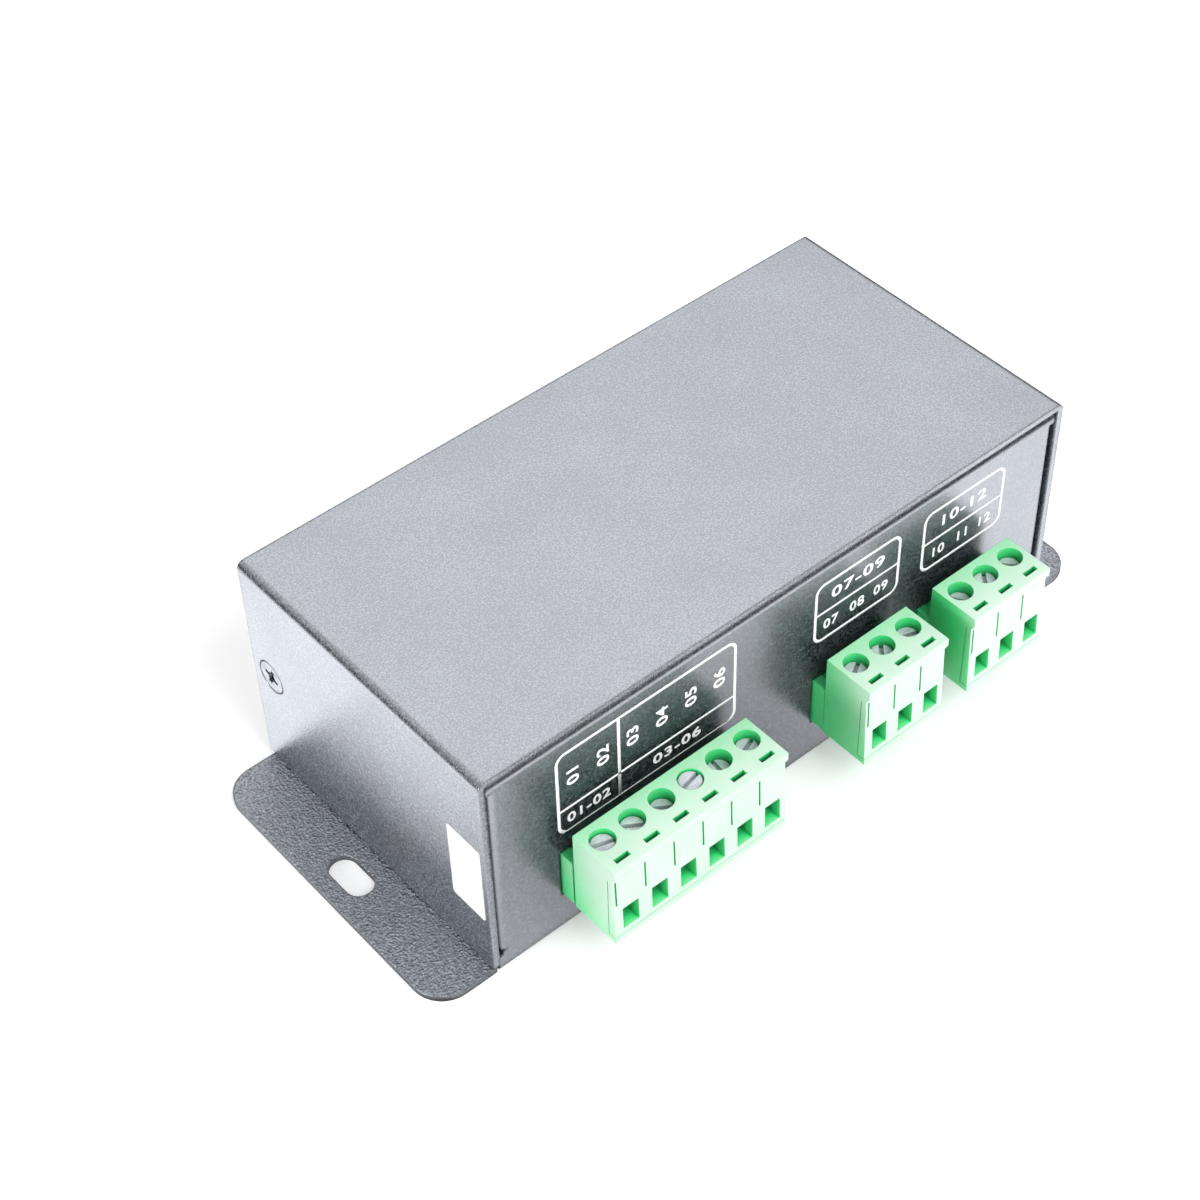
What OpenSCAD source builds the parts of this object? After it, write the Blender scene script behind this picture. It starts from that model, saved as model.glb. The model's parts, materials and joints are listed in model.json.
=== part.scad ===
// Three-channel DMX decoder in a folded steel case, with plug-in screw terminals on its front.
// X runs along the case, -Y is the terminal side and Z is up.
// The origin is the middle of the base's underside.

/* [Case] */
// Length of the cover, without the ears
case_l = 106; // [104:1:130]
// Depth of the case, front wall to back wall
case_d = 52; // [52:1:64]
// Height of the case
case_h = 40; // [36:1:50]
// Thickness of the steel sheet
sheet = 1.0; // [0.8:0.1:1.2]
// Outer radius of the cover's two folds
cover_fold_r = 1.2; // [1.2:0.1:3]
// Outer radius of the folds between the floor and its walls
wall_fold_r = 1.2; // [1.2:0.1:2]
// How far the cover's edges stand out past the front and back walls
cover_lip = 0.2; // [0:0.05:0.3]
// Gap between the flanges and the cover's end walls
side_gap = 0.4; // [0.2:0.1:0.6]
// Gap under the cover's top, and between its end walls and the ears
lid_gap = 0.2; // [0.1:0.1:0.5]
// Radius of the cover's lower corners
cover_corner_r = 1.0; // [0.5:0.1:2]

/* [Ears] */
// How far each ear stands out past the cover
ear_reach = 9.5; // [8.5:0.5:14]
// How far the ears' front and back edges lie behind the cover's
ear_setback = 0.5; // [0:0.1:1]
// Corner radius of the ears
ear_r = 5; // [2:0.5:7]
// Width of the mounting slot
slot_w = 4.3; // [3.3:0.1:5]
// Length of the mounting slot, end to end
slot_l = 8; // [6:0.5:16]
// Distance from the ear's outer edge to the slot's centre line
slot_inset = 4.8; // [4:0.1:5]

/* [Wall ends] */
// How far a return flange reaches back from its wall's face
flange_l = 8.6; // [7:0.2:12]
// Outer radius of the fold between a wall and its return flange
flange_fold_r = 1.2; // [1.2:0.1:1.6]
// Height at which the flange starts
flange_low = 4.2; // [4:0.1:8]
// Distance from the wall's top edge down to the flange
flange_drop = 2.0; // [1:0.1:4]
// Radius of the wall's top corners
wall_corner_r = 0.9; // [0.5:0.1:2]
// Width of the slit that frees the wall's fold from the ear
relief_w = 0.4; // [0.2:0.1:1]
// Depth of the notch between the wall's foot and its flange
notch_in = 0.75; // [0.3:0.05:1.2]
// Height of the notch's lower edge
notch_z = 3.2; // [2.8:0.1:3.5]

/* [Cover screws] */
// Distance of the cover screws from the front and the back face
cover_screw_inset = 4.1; // [3.6:0.1:5]
// Height of the cover screws
cover_screw_z = 20.5; // [14:0.5:26]
// Thread diameter of the cover screws
cover_screw_d = 3; // [2.5:0.5:3]
// Head diameter of the cover screws
cover_head_d = 5.5; // [5:0.1:6]
// Length of the cover screws
cover_screw_l = 6; // [5:0.5:8]

/* [Circuit board] */
// Height of the standoffs
standoff_h = 5; // [4:0.5:8]
// Width of the standoffs across their flats
standoff_w = 5.5; // [5:0.1:6]
// Thickness of the board
board_t = 1.6; // [1.2:0.2:2]
// Gap between the board and the flanges
board_side_gap = 1.1; // [0.6:0.1:2]
// Gap between the board and the front and back walls
board_wall_gap = 0.4; // [0.4:0.1:1]
// Distance of the standoffs from the board's ends
standoff_inset_x = 3.5; // [3.4:0.1:4]
// Distance of the standoffs from the board's long edges
standoff_inset_y = 4.4; // [4:0.1:6]
// Thread diameter of the board screws
board_screw_d = 3; // [2.5:0.5:3]

/* [Terminals] */
// Spacing of the ways
pitch = 5.08; // [5:0.02:5.08]
// Distance of the power plug's first way from the case's left end
power_inset = 15; // [14:0.5:16]
// Distance of the data-in plug's first way from the case's right end
data_in_inset = 44.95; // [44:0.05:46]
// Distance of the data-out plug's first way from the case's right end
data_out_inset = 24.3; // [23:0.1:25]
// Gap between the power header and its plug, which isn't quite home
power_plug_gap = 0.35; // [0.1:0.05:1]
// Gap between the data headers and their plugs
data_plug_gap = 0.1; // [0.1:0.05:1]
// How far the plugs pull out
plug_travel = 14; // [12:1:20]

/* [Header] */
// Height of a header's shroud
header_h = 8.5; // [8.5:0.1:9.5]
// Depth of a header's shroud
header_d = 11.9; // [11.9:0.1:13]
// How far a header stands out of the front wall
header_reach = 2.05; // [1.5:0.05:3]
// Wall of a header's shroud
header_wall = 0.75; // [0.6:0.05:0.8]
// Thickness of the shroud's back, which holds the pins
header_back = 1.6; // [1.2:0.1:1.8]
// Thickness of a contact pin
pin_w = 1.0; // [0.8:0.1:1]
// Height of the pins above the board
pin_z = 4.1; // [4:0.1:4.4]
// Length that a pin stands out under the board
pin_below = 2.4; // [1:0.1:2.8]

/* [Plug] */
// Height of a plug's block
plug_h = 15; // [15:0.5:17]
// Depth of a plug's block
plug_d = 8.35; // [8.35:0.05:9]
// How far the block's underside sits under the header's
plug_drop = 0.25; // [0:0.05:0.5]
// Length of the tongue-like part that goes into the header
insert_l = 9.85; // [8:0.05:9.9]
// Running gap between that part and the header
insert_gap = 0.15; // [0.1:0.05:0.2]
// Height of the lip along the block's front top edge
lip_h = 1.4; // [0.8:0.1:1.6]
// Height of the bevel under the lip
lip_bevel = 1.0; // [0.5:0.1:1.2]
// How far the front face lies behind the lip
lip_reach = 0.55; // [0.3:0.05:0.8]
// Diameter of the screw wells
well_d = 3.7; // [3.7:0.1:4]
// Distance of the wells from the block's back face
well_y = 3.0; // [2.9:0.05:3.2]
// Depth of the screw wells
well_depth = 3.95; // [3.95:0.05:4.5]
// Width of the wire mouth
mouth_w = 2.8; // [2.5:0.1:3.2]
// Height of the wire mouth
mouth_h = 4.15; // [3.8:0.05:4.4]
// Height of the wire mouth above the block's underside
mouth_z = 2.0; // [1.8:0.05:2.2]
// Depth of the mouth's taper
mouth_taper = 1.3; // [0.8:0.1:1.6]
// How much the mouth narrows on each side
mouth_step = 0.15; // [0.1:0.05:0.4]
// Sideways shift of the mouth from the well
mouth_shift = 0.25; // [0:0.05:0.5]
// Length of the test slots
test_l = 2.4; // [2:0.1:3]
// Width of the test slots
test_w = 0.8; // [0.6:0.05:1]
// Distance of the test slots from the lip's front
test_y = 1.5; // [1.2:0.05:1.6]
// Depth of the test slots
test_depth = 5; // [3:0.5:6]
// Length of the grooves in the front face
groove_l = 4.9; // [4:0.1:5.5]
// Width of the grooves
groove_w = 0.3; // [0.2:0.05:0.5]
// Depth of the grooves
groove_depth = 0.3; // [0.1:0.05:0.5]
// Distance of the grooves from the ways' middles
groove_x = 2.08; // [1.9:0.02:2.1]
// Height of the seam line above the block's underside
seam_z = 1.0; // [0.8:0.1:1.4]
// Width and depth of the seam line
seam = 0.12; // [0.08:0.02:0.2]
// Distance of the side seams from the lip's front
seam_y = 1.4; // [1:0.1:2]
// Gap between the fingers that hold the sockets
finger_gap = 0.9; // [0.6:0.1:1]

/* [Clamps] */
// Diameter of the clamp screws' heads
clamp_head_d = 3.5; // [3.2:0.1:3.5]
// Height of the clamp screws' heads
clamp_head_h = 2.0; // [1.6:0.1:2]
// Width of the screwdriver slot
driver_w = 0.65; // [0.4:0.05:0.8]
// Depth of the screwdriver slot
driver_depth = 0.9; // [0.5:0.1:1.2]
// Thread diameter of the clamp screws
clamp_screw_d = 2.5; // [2:0.1:2.5]
// Length of the clamp screws under the head
clamp_screw_l = 5.7; // [5.5:0.1:5.7]
// Travel of a clamp cage, from open to shut
cage_travel = 2.4; // [1.5:0.1:2.4]
// Width of a cage
cage_w = 3.9; // [3.4:0.1:3.9]
// Depth of a cage
cage_d = 3.8; // [3.4:0.1:3.8]
// Height of a cage
cage_h = 6.0; // [5.8:0.1:6]
// Wall of a cage
cage_t = 0.7; // [0.5:0.05:0.75]
// Thickness of the threaded top of a cage
cage_top = 1.9; // [1.7:0.1:1.9]
// Thickness of a contact's tongue
tongue_t = 0.75; // [0.5:0.05:0.8]
// Thickness of the sheet that a socket is folded from
socket_t = 0.35; // [0.2:0.05:0.4]

/* [Address switch] */
// Middle of the switch, measured from the middle of the case
switch_x = -10; // [-20:0.5:-5]
// Height of the switch's body
switch_h = 9.9; // [9:0.1:10.5]
// Depth of the switch's body
switch_d = 5.8; // [5:0.1:7]
// How far the switch's face lies inside the back face of the case
switch_inset = 0.3; // [0.3:0.05:0.6]
// Height of a lever
lever_h = 1.6; // [1.2:0.1:1.8]
// Width of a lever
lever_w = 1.3; // [1:0.1:1.5]
// How far a lever stands out of the switch's face
lever_reach = 0.25; // [0.1:0.05:0.3]
// Travel of a lever
lever_travel = 1.8; // [1:0.1:2]

/* [Status lamp] */
// Middle of the lamp, measured from the middle of the case
lamp_x = 10; // [8:0.5:20]
// Height of the lamp above the board
lamp_z = 5; // [3:0.5:8]
// Diameter of the lamp
lamp_d = 3; // [2:0.5:3]
// Length of the lamp with its dome
lamp_l = 4.1; // [3.9:0.1:4.1]
// Spacing of the lamp's leads
lamp_step = 2.54; // [2:0.02:2.6]

/* [Power parts] */
// Distance of the first transistor from the board's left end
transistor_inset = 15.5; // [14:0.5:17]
// Spacing of the transistors
transistor_step = 9; // [8:0.5:9.5]
// Distance of the transistors in front of the board's middle
transistor_y = 5; // [4.5:0.5:5]
// Width of a transistor
transistor_w = 6.6; // [6:0.1:6.8]
// Depth of a transistor's body
transistor_d = 6.1; // [5.5:0.1:6.1]
// Height of a transistor
transistor_h = 2.3; // [2:0.1:2.5]
// Distance of the first capacitor from the board's left end
capacitor_inset = 11.5; // [10:0.5:12]
// Spacing of the capacitors
capacitor_step = 12; // [11:0.5:12]
// Distance of the capacitors behind the board's middle
capacitor_y = 8; // [7:0.5:9]
// Diameter of a capacitor
capacitor_d = 10; // [8:0.5:10]
// Height of a capacitor
capacitor_h = 12.8; // [10:0.1:13]
// Distance of the choke from the board's left end
choke_inset = 38.5; // [37:0.5:39]
// Distance of the choke behind the board's middle
choke_y = 7; // [7:0.5:8]
// Width of the choke
choke_w = 12; // [10:0.5:12]
// Height of the choke
choke_h = 5.5; // [4:0.5:7]

/* [Logic parts] */
// Distance of the regulator from the board's right end
regulator_inset = 45.5; // [44:0.5:46]
// Distance of the regulator in front of the board's middle
regulator_y = 7; // [6:0.5:8]
// Length of the regulator
regulator_l = 6.5; // [6:0.1:7]
// Depth of the regulator's body
regulator_d = 3.5; // [3:0.1:4]
// Distance of the controller from the board's right end
controller_inset = 27.5; // [26:0.5:29]
// Distance of the controller and the crystal behind the board's middle
controller_y = 6; // [6:0.5:8]
// Length of the controller
controller_l = 12.8; // [12.4:0.1:13]
// Depth of the controller's body
controller_d = 7.5; // [6:0.1:7.5]
// Height of the controller
controller_h = 2.3; // [2:0.1:2.6]
// Distance of the right line transceiver from the board's right end
transceiver_inset = 16.5; // [15:0.5:18]
// Spacing of the line transceivers
transceiver_step = 19; // [17:0.5:19]
// Distance of the line transceivers in front of the board's middle
transceiver_y = 7; // [6:0.5:8]
// Length of a line transceiver
transceiver_l = 4.9; // [4.5:0.1:5.2]
// Depth of a line transceiver's body
transceiver_d = 3.9; // [3.6:0.1:4.2]
// Height of the regulator and the line transceivers
chip_h = 1.6; // [1.2:0.1:1.8]
// Distance of the crystal from the board's right end
crystal_inset = 11.5; // [10.5:0.5:12]
// Length of the crystal
crystal_l = 11.6; // [11:0.1:12]
// Width of the crystal
crystal_w = 4.9; // [4.6:0.1:5]
// Height of the crystal
crystal_h = 3.6; // [3.4:0.1:4.5]

/* [Hidden] */
$fn = 64;
power_ways = 6;
data_ways = 3;
switch_ways = 10;
switch_pitch = 2.54;

// Clearances
eps = 0.01;
running = 0.05;
seat = 0.1;
window_gap = 0.3;

// Case
half_l = case_l / 2;
half_d = case_d / 2;
wall_y = half_d - cover_lip;
ear_y = half_d - ear_setback;
fold_inner_r = 0.2;
inner_x = half_l - sheet;
flange_x = inner_x - side_gap;
foot_x = flange_x + 0.25;
fold_cut = cover_lip + wall_fold_r;
wall_top = case_h - sheet - lid_gap;
cover_low = sheet + lid_gap;
tab_out = 0.15;
ear_x = half_l + ear_reach;
slot_x = ear_x - slot_inset;
cover_screw_y = half_d - cover_screw_inset;

// Board
board_z = sheet + standoff_h;
top_z = board_z + board_t;
board_x = flange_x - sheet - board_side_gap;
board_y = wall_y - sheet - board_wall_gap;
standoff_x = board_x - standoff_inset_x;
standoff_y = board_y - standoff_inset_y;

// Terminals, seen from the header's front edge
header_y = -half_d - header_reach;
header_rear_y = header_y + header_d;
end_margin = 0.05;
pin_axis_z = top_z + pin_z;
pin_bend_y = header_rear_y + 2;
pin_tip_y = header_y + 2.1;
pin_margin = 0.03;
block_low = top_z - plug_drop;
foot_out = 0.05;
block_top = block_low + plug_h;
groove_top = block_top - lip_h - lip_bevel - 0.3;
insert_low = top_z + header_wall + insert_gap;
insert_top = top_z + header_h - header_wall - insert_gap;
key_w = 1.4;
key_l = 4;
way_firsts = [power_inset - half_l, half_l - data_in_inset, half_l - data_out_inset];
way_counts = [power_ways, data_ways, data_ways];
plug_gaps = [power_plug_gap, data_plug_gap, data_plug_gap];

// Clamps. Each screw stands at its own depth under the block's top, and at its own angle.
clamp_drops = [0.85, 1.4, 1.9, 0.3, 1.9, 1.5, 1.5, 1.6, 1.7, 1.9, 1.3, 1.7];
clamp_angles = [-18, -33, -33, 12, 83, 21, 30, 49, -18, -60, 49, -51];
chamber_low = block_low + 1.3;
chamber_top = block_top - well_depth - 0.85;
cage_low = chamber_low + running;
tongue_z = cage_low + cage_h - cage_top - 0.15 - tongue_t;

// Contacts: the tongue is as wide as the socket that it runs into
socket_out = pin_w / 2 + running + socket_t;
tongue_w = 2 * socket_out;

// Cross recesses of the case's and the board's screws
cover_recess_w = 2.9;
cover_recess_h = 1.2;
board_head_h = 2.1;
board_head_chamfer = 0.5;
board_recess_w = 2.6;
board_recess_h = 1.3;

// Switch
switch_face_y = wall_y - switch_inset;
switch_body_w = switch_ways * switch_pitch + 2;
lever_low = top_z + (switch_h - lever_h - lever_travel) / 2;
lever_depth = 2.4;
lamp_axis_z = top_z + lamp_z;
can_foot = 1.2;

function way_group(i) = i < power_ways ? 0 : i < power_ways + data_ways ? 1 : 2;
function way_index(i) = i - (way_group(i) == 0 ? 0 : power_ways + (way_group(i) - 1) * data_ways);
function way_x(i) = way_firsts[way_group(i)] + way_index(i) * pitch;
function back_y(g) = header_y - plug_gaps[g];
function well_axis_y(g) = back_y(g) - well_y;
function block_x(g) = way_firsts[g] - pitch / 2 - end_margin;
function block_w(g) = way_counts[g] * pitch + 2 * end_margin;

// Place of a plug's leaning front face at height z
function face_y(g, z) = back_y(g) - plug_d + foot_out
    + (lip_reach - foot_out) * (z - block_low) / (block_top - lip_h - lip_bevel - block_low);

// An upright box from one corner to the opposite one
module span(a, b) {
    translate(a) cube(b - a);
}

// A profile drawn in Y and Z, carried from x0 to x1
module along_x(x0, x1) {
    translate([x0, 0, 0]) rotate([90, 0, 90]) linear_extrude(x1 - x0) children();
}

// A profile drawn in X and Z, carried from y0 to y1
module along_y(y0, y1) {
    translate([0, y1, 0]) rotate([90, 0, 0]) linear_extrude(y1 - y0) children();
}

// A quarter of a sheet's fold, centred on the origin, in the quadrant of +X and +Y
module fold(r) {
    difference() {
        intersection() {
            circle(r);
            square(r);
        }
        circle(max(r - sheet, fold_inner_r));
    }
}

// A slot that runs along Y, through a sheet
module slot(w, l) {
    for (s = [-1, 1]) translate([0, s * (l - w) / 2]) circle(d = w);
    square([w, l - w], center = true);
}

module both_ends() {
    children();
    mirror([1, 0, 0]) children();
}

module both_sides() {
    children();
    mirror([0, 1, 0]) children();
}

// Floor and ears: the long edges are cut back where the walls fold up
module floor_plate() {
    linear_extrude(sheet) difference() {
        union() {
            square([2 * ear_x, 2 * (ear_y - ear_r)], center = true);
            square([2 * (ear_x - ear_r), 2 * ear_y], center = true);
            for (x = [-1, 1], y = [-1, 1])
                translate([x * (ear_x - ear_r), y * (ear_y - ear_r)]) circle(ear_r);
        }
        for (y = [-1, 1])
            translate([0, y * half_d]) square([2 * foot_x, 2 * fold_cut], center = true);
        for (x = [-1, 1], y = [-1, 1])
            translate([x * (foot_x + relief_w / 2), y * half_d])
                square([relief_w, 2 * fold_cut + 1.4], center = true);
        for (x = [-1, 1]) translate([x * slot_x, 0]) slot(slot_w, slot_l);
        for (x = [-1, 1], y = [-1, 1])
            translate([x * standoff_x, y * standoff_y]) circle(d = standoff_w - 1.2 + 2 * running);
    }
}

// Flat part of a wall, one half, in X and Z: foot, notch, the flange's fold line, rounded top corner
module wall_outline() {
    fold_x = flange_x - flange_fold_r;
    top_x = flange_x + tab_out;
    polygon([
        [0, wall_fold_r], [foot_x, wall_fold_r], [foot_x, notch_z - 0.1], [foot_x - notch_in, notch_z + 0.1],
        [foot_x - notch_in, flange_low - 0.4], [fold_x, flange_low - 0.1], [fold_x, wall_top - flange_drop],
        [top_x, wall_top - flange_drop], [top_x, wall_top - wall_corner_r],
        [top_x - wall_corner_r, wall_top], [0, wall_top]
    ]);
    intersection() {
        translate([top_x - wall_corner_r, wall_top - wall_corner_r]) circle(wall_corner_r);
        translate([fold_x - 1, wall_top - flange_drop]) square([4, 4]);
    }
}

// The front wall's solid: its fold from the floor, its plate and its two flanges
module front_wall() {
    along_x(-foot_x, foot_x)
        translate([-wall_y + wall_fold_r, wall_fold_r]) rotate(180) fold(wall_fold_r);
    both_ends() {
        along_y(-wall_y, -wall_y + sheet) wall_outline();
        translate([flange_x - flange_fold_r, -wall_y + flange_fold_r, flange_low])
            rotate(-90) linear_extrude(wall_top - flange_drop - flange_low) fold(flange_fold_r);
        difference() {
            span([flange_x - sheet, -wall_y + flange_fold_r, flange_low],
                 [flange_x, -wall_y + flange_l, wall_top - flange_drop]);
            translate([flange_x - sheet - eps, -cover_screw_y, cover_screw_z]) rotate([0, 90, 0])
                cylinder(d = cover_screw_d + 2 * running, h = sheet + 2 * eps);
        }
    }
}

module base_tray() color("#4d5157") {
    floor_plate();
    difference() {
        front_wall();
        for (g = [0:2])
            span([block_x(g) - window_gap, -wall_y - eps, top_z - window_gap],
                 [block_x(g) + block_w(g) + window_gap, -wall_y + sheet + eps,
                  top_z + header_h + window_gap]);
    }
    difference() {
        mirror([0, 1, 0]) front_wall();
        span([switch_x - switch_body_w / 2 - window_gap, wall_y - sheet - eps, top_z - window_gap],
             [switch_x + switch_body_w / 2 + window_gap, wall_y + eps, top_z + switch_h + window_gap]);
        translate([lamp_x, wall_y + eps, lamp_axis_z]) rotate([90, 0, 0])
            cylinder(d = lamp_d + 2 * seat, h = sheet + 2 * eps);
    }
}

// Cover in X and Z, one half
module cover_outline() {
    translate([half_l - cover_fold_r, case_h - cover_fold_r]) fold(cover_fold_r);
    translate([0, case_h - sheet]) square([half_l - cover_fold_r, sheet]);
    translate([inner_x, cover_low + sheet / 2])
        square([sheet, case_h - cover_fold_r - cover_low - sheet / 2]);
    translate([inner_x + sheet / 2, cover_low + sheet / 2]) circle(d = sheet);
}

module cover() color("#7d848c") both_ends() difference() {
    along_y(-half_d, half_d) cover_outline();
    for (y = [-1, 1]) {
        translate([half_l + eps, y * cover_screw_y, cover_screw_z]) rotate([0, -90, 0])
            cylinder(d1 = cover_head_d + 0.2 + 2 * eps, d2 = cover_head_d + 0.2 - 2 * sheet - 2 * eps,
                     h = sheet + 2 * eps);
        translate([inner_x - eps, y * (half_d - cover_corner_r), cover_low + cover_corner_r])
            rotate([90, 0, 90]) linear_extrude(sheet + 2 * eps) difference() {
                translate([y > 0 ? 0 : -2 * cover_corner_r, -2 * cover_corner_r])
                    square(2 * cover_corner_r);
                circle(cover_corner_r);
            }
    }
}

// A cross-head recess, cut down into the origin
module cross_recess(w, depth) {
    for (a = [0, 90]) rotate(a) translate([-w / 2, -0.35, -depth]) cube([w, 0.7, depth + eps]);
    translate([0, 0, -depth]) cylinder(d1 = 0.9, d2 = 1.7, h = depth + eps);
}

module cover_screws() color("silver")
    for (x = [0, 1], y = [-1, 1])
        mirror([x, 0, 0]) translate([half_l - 0.05, y * cover_screw_y, cover_screw_z])
            rotate([0, 90, 0]) rotate(y > 0 ? 20 : 65) difference() {
                union() {
                    translate([0, 0, -(cover_head_d - cover_screw_d) / 2])
                        cylinder(d1 = cover_screw_d, d2 = cover_head_d,
                                 h = (cover_head_d - cover_screw_d) / 2);
                    translate([0, 0, -cover_screw_l]) cylinder(d = cover_screw_d, h = cover_screw_l - 1);
                }
                cross_recess(cover_recess_w, cover_recess_h);
            }

module circuit_board() color("#1f6b3a") difference() {
    translate([0, 0, board_z]) linear_extrude(board_t) difference() {
        square([2 * board_x, 2 * board_y], center = true);
        for (x = [-1, 1], y = [-1, 1])
            translate([x * standoff_x, y * standoff_y]) circle(d = board_screw_d + 0.3);
        for (i = [0:11]) translate([way_x(i), pin_bend_y]) circle(d = pin_w * 1.5);
        for (i = [0:switch_ways - 1], row = [0, 1])
            translate([switch_pin_x(i), switch_pin_y(row)]) circle(d = 0.9);
        for (s = [-1, 1]) translate([lamp_x + s * lamp_step / 2, lamp_lead_y]) circle(d = 0.9);
    }
}

module board_standoffs() color("silver")
    for (x = [-1, 1], y = [-1, 1]) translate([x * standoff_x, y * standoff_y, 0]) difference() {
        union() {
            translate([0, 0, sheet]) cylinder(d = standoff_w / cos(30), h = standoff_h, $fn = 6);
            translate([0, 0, 0.1]) cylinder(d = standoff_w - 1.2, h = sheet);
        }
        translate([0, 0, sheet]) cylinder(d = board_screw_d + 2 * running, h = standoff_h + eps);
    }

module board_screws() color("silver")
    for (x = [-1, 1], y = [-1, 1]) translate([x * standoff_x, y * standoff_y, top_z]) difference() {
        union() {
            cylinder(d = 1.9 * board_screw_d, h = board_head_h - board_head_chamfer);
            translate([0, 0, board_head_h - board_head_chamfer])
                cylinder(d1 = 1.9 * board_screw_d, d2 = 1.2 * board_screw_d, h = board_head_chamfer);
            translate([0, 0, -board_t - standoff_h + 0.6])
                cylinder(d = board_screw_d, h = board_t + standoff_h);
        }
        translate([0, 0, board_head_h]) cross_recess(board_recess_w, board_recess_h);
    }

// Shroud for group g: open to the front, notched over each way for the plug's keys
module header(g) {
    x0 = block_x(g);
    x1 = x0 + block_w(g);
    difference() {
        span([x0, header_y, top_z], [x1, header_rear_y, top_z + header_h]);
        span([x0 + header_wall, header_y - eps, top_z + header_wall],
             [x1 - header_wall, header_rear_y - header_back, top_z + header_h - header_wall]);
        for (i = [0:way_counts[g] - 1]) {
            x = way_firsts[g] + i * pitch;
            span([x - key_w / 2 - 0.2, header_y - eps, top_z + header_h - header_wall - eps],
                 [x + key_w / 2 + 0.2, header_y + key_l + 0.6, top_z + header_h + eps]);
            hole = pin_w / 2 + pin_margin;
            span([x - hole, header_rear_y - header_back - eps, pin_axis_z - hole],
                 [x + hole, header_rear_y + eps, pin_axis_z + hole]);
        }
    }
}

module power_header() color("#2f9e57") header(0);
module data_in_header() color("#2f9e57") header(1);
module data_out_header() color("#2f9e57") header(2);

// A bent pin: level through the shroud's back, then down through the board, pointed at both ends
module bent_pin() {
    h = pin_w / 2;
    low = board_z - pin_below;
    translate([-h, 0, 0]) along_x(0, pin_w) polygon([
        [pin_tip_y, pin_axis_z - h / 2], [pin_tip_y + pin_w, pin_axis_z - h],
        [pin_bend_y - h, pin_axis_z - h], [pin_bend_y - h, low + pin_w], [pin_bend_y - h / 2, low],
        [pin_bend_y + h / 2, low], [pin_bend_y + h, low + pin_w], [pin_bend_y + h, pin_axis_z + h],
        [pin_tip_y + pin_w, pin_axis_z + h], [pin_tip_y, pin_axis_z + h / 2]
    ]);
}

module contact_pins() color("gold") {
    for (i = [0:11]) translate([way_x(i), 0, 0]) bent_pin();
    for (i = [0:switch_ways - 1], row = [0, 1])
        translate([switch_pin_x(i) - 0.25, switch_pin_y(row) - 0.25, board_z - 1.4])
            cube([0.5, 0.5, board_t + 1.4]);
}

// Side of a plug's block, in Y and Z: lip, its bevel, the front face leaning out to the foot
module block_outline(g) {
    y = back_y(g);
    front = y - plug_d;
    polygon([
        [y, block_low], [y, block_top], [front, block_top], [front, block_top - lip_h],
        [front + lip_reach, block_top - lip_h - lip_bevel], [front + foot_out, block_low]
    ]);
}

// A tapered mouth: two wedges, one narrowing in X and one in Z, cut each other to a pyramid's sides
module wire_mouth(front) {
    z0 = block_low + mouth_z;
    inner_y = front + mouth_taper + 0.1;
    intersection() {
        translate([0, 0, z0]) linear_extrude(mouth_h) polygon([
            [-mouth_w / 2, front - 1], [mouth_w / 2, front - 1], [mouth_w / 2, front + 0.1],
            [mouth_w / 2 - mouth_step, inner_y], [-mouth_w / 2 + mouth_step, inner_y],
            [-mouth_w / 2, front + 0.1]
        ]);
        along_x(-mouth_w, mouth_w) polygon([
            [front - 1, z0], [front + 0.1, z0], [inner_y, z0 + mouth_step],
            [inner_y, z0 + mouth_h - mouth_step], [front + 0.1, z0 + mouth_h], [front - 1, z0 + mouth_h]
        ]);
    }
}

// Everything that is cut for one way, with x measured from the way's middle
module way_cuts(g) {
    y = well_axis_y(g);
    front = back_y(g) - plug_d;
    translate([0, y, block_top - well_depth]) cylinder(d = well_d, h = well_depth + eps);
    translate([0, y, chamber_top - eps]) cylinder(d = clamp_screw_d + 0.3, h = 1);
    span([-cage_w / 2 - seat, y - cage_d / 2 - seat, chamber_low],
         [cage_w / 2 + seat, y + cage_d / 2 + seat, chamber_top]);
    translate([mouth_shift, 0, 0]) {
        wire_mouth(front);
        span([-mouth_w / 2 + mouth_step, front + mouth_taper, block_low + mouth_z + mouth_step],
             [mouth_w / 2 - mouth_step, y, block_low + mouth_z + mouth_h - mouth_step]);
    }
    span([-test_l / 2, front + test_y - test_w / 2, block_top - test_depth],
         [test_l / 2, front + test_y + test_w / 2, block_top + eps]);
    translate([-groove_x - groove_w / 2, 0, 0]) along_x(0, groove_w) polygon([
        [front - 1, groove_top], [front - 1, groove_top - groove_l],
        [face_y(g, groove_top - groove_l) + groove_depth, groove_top - groove_l],
        [face_y(g, groove_top) + groove_depth, groove_top]
    ]);
    span([-socket_out - running, y + cage_d / 2, pin_axis_z - 1.1],
         [socket_out + running, back_y(g) + insert_l + eps, tongue_z + tongue_t + running]);
}

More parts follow.
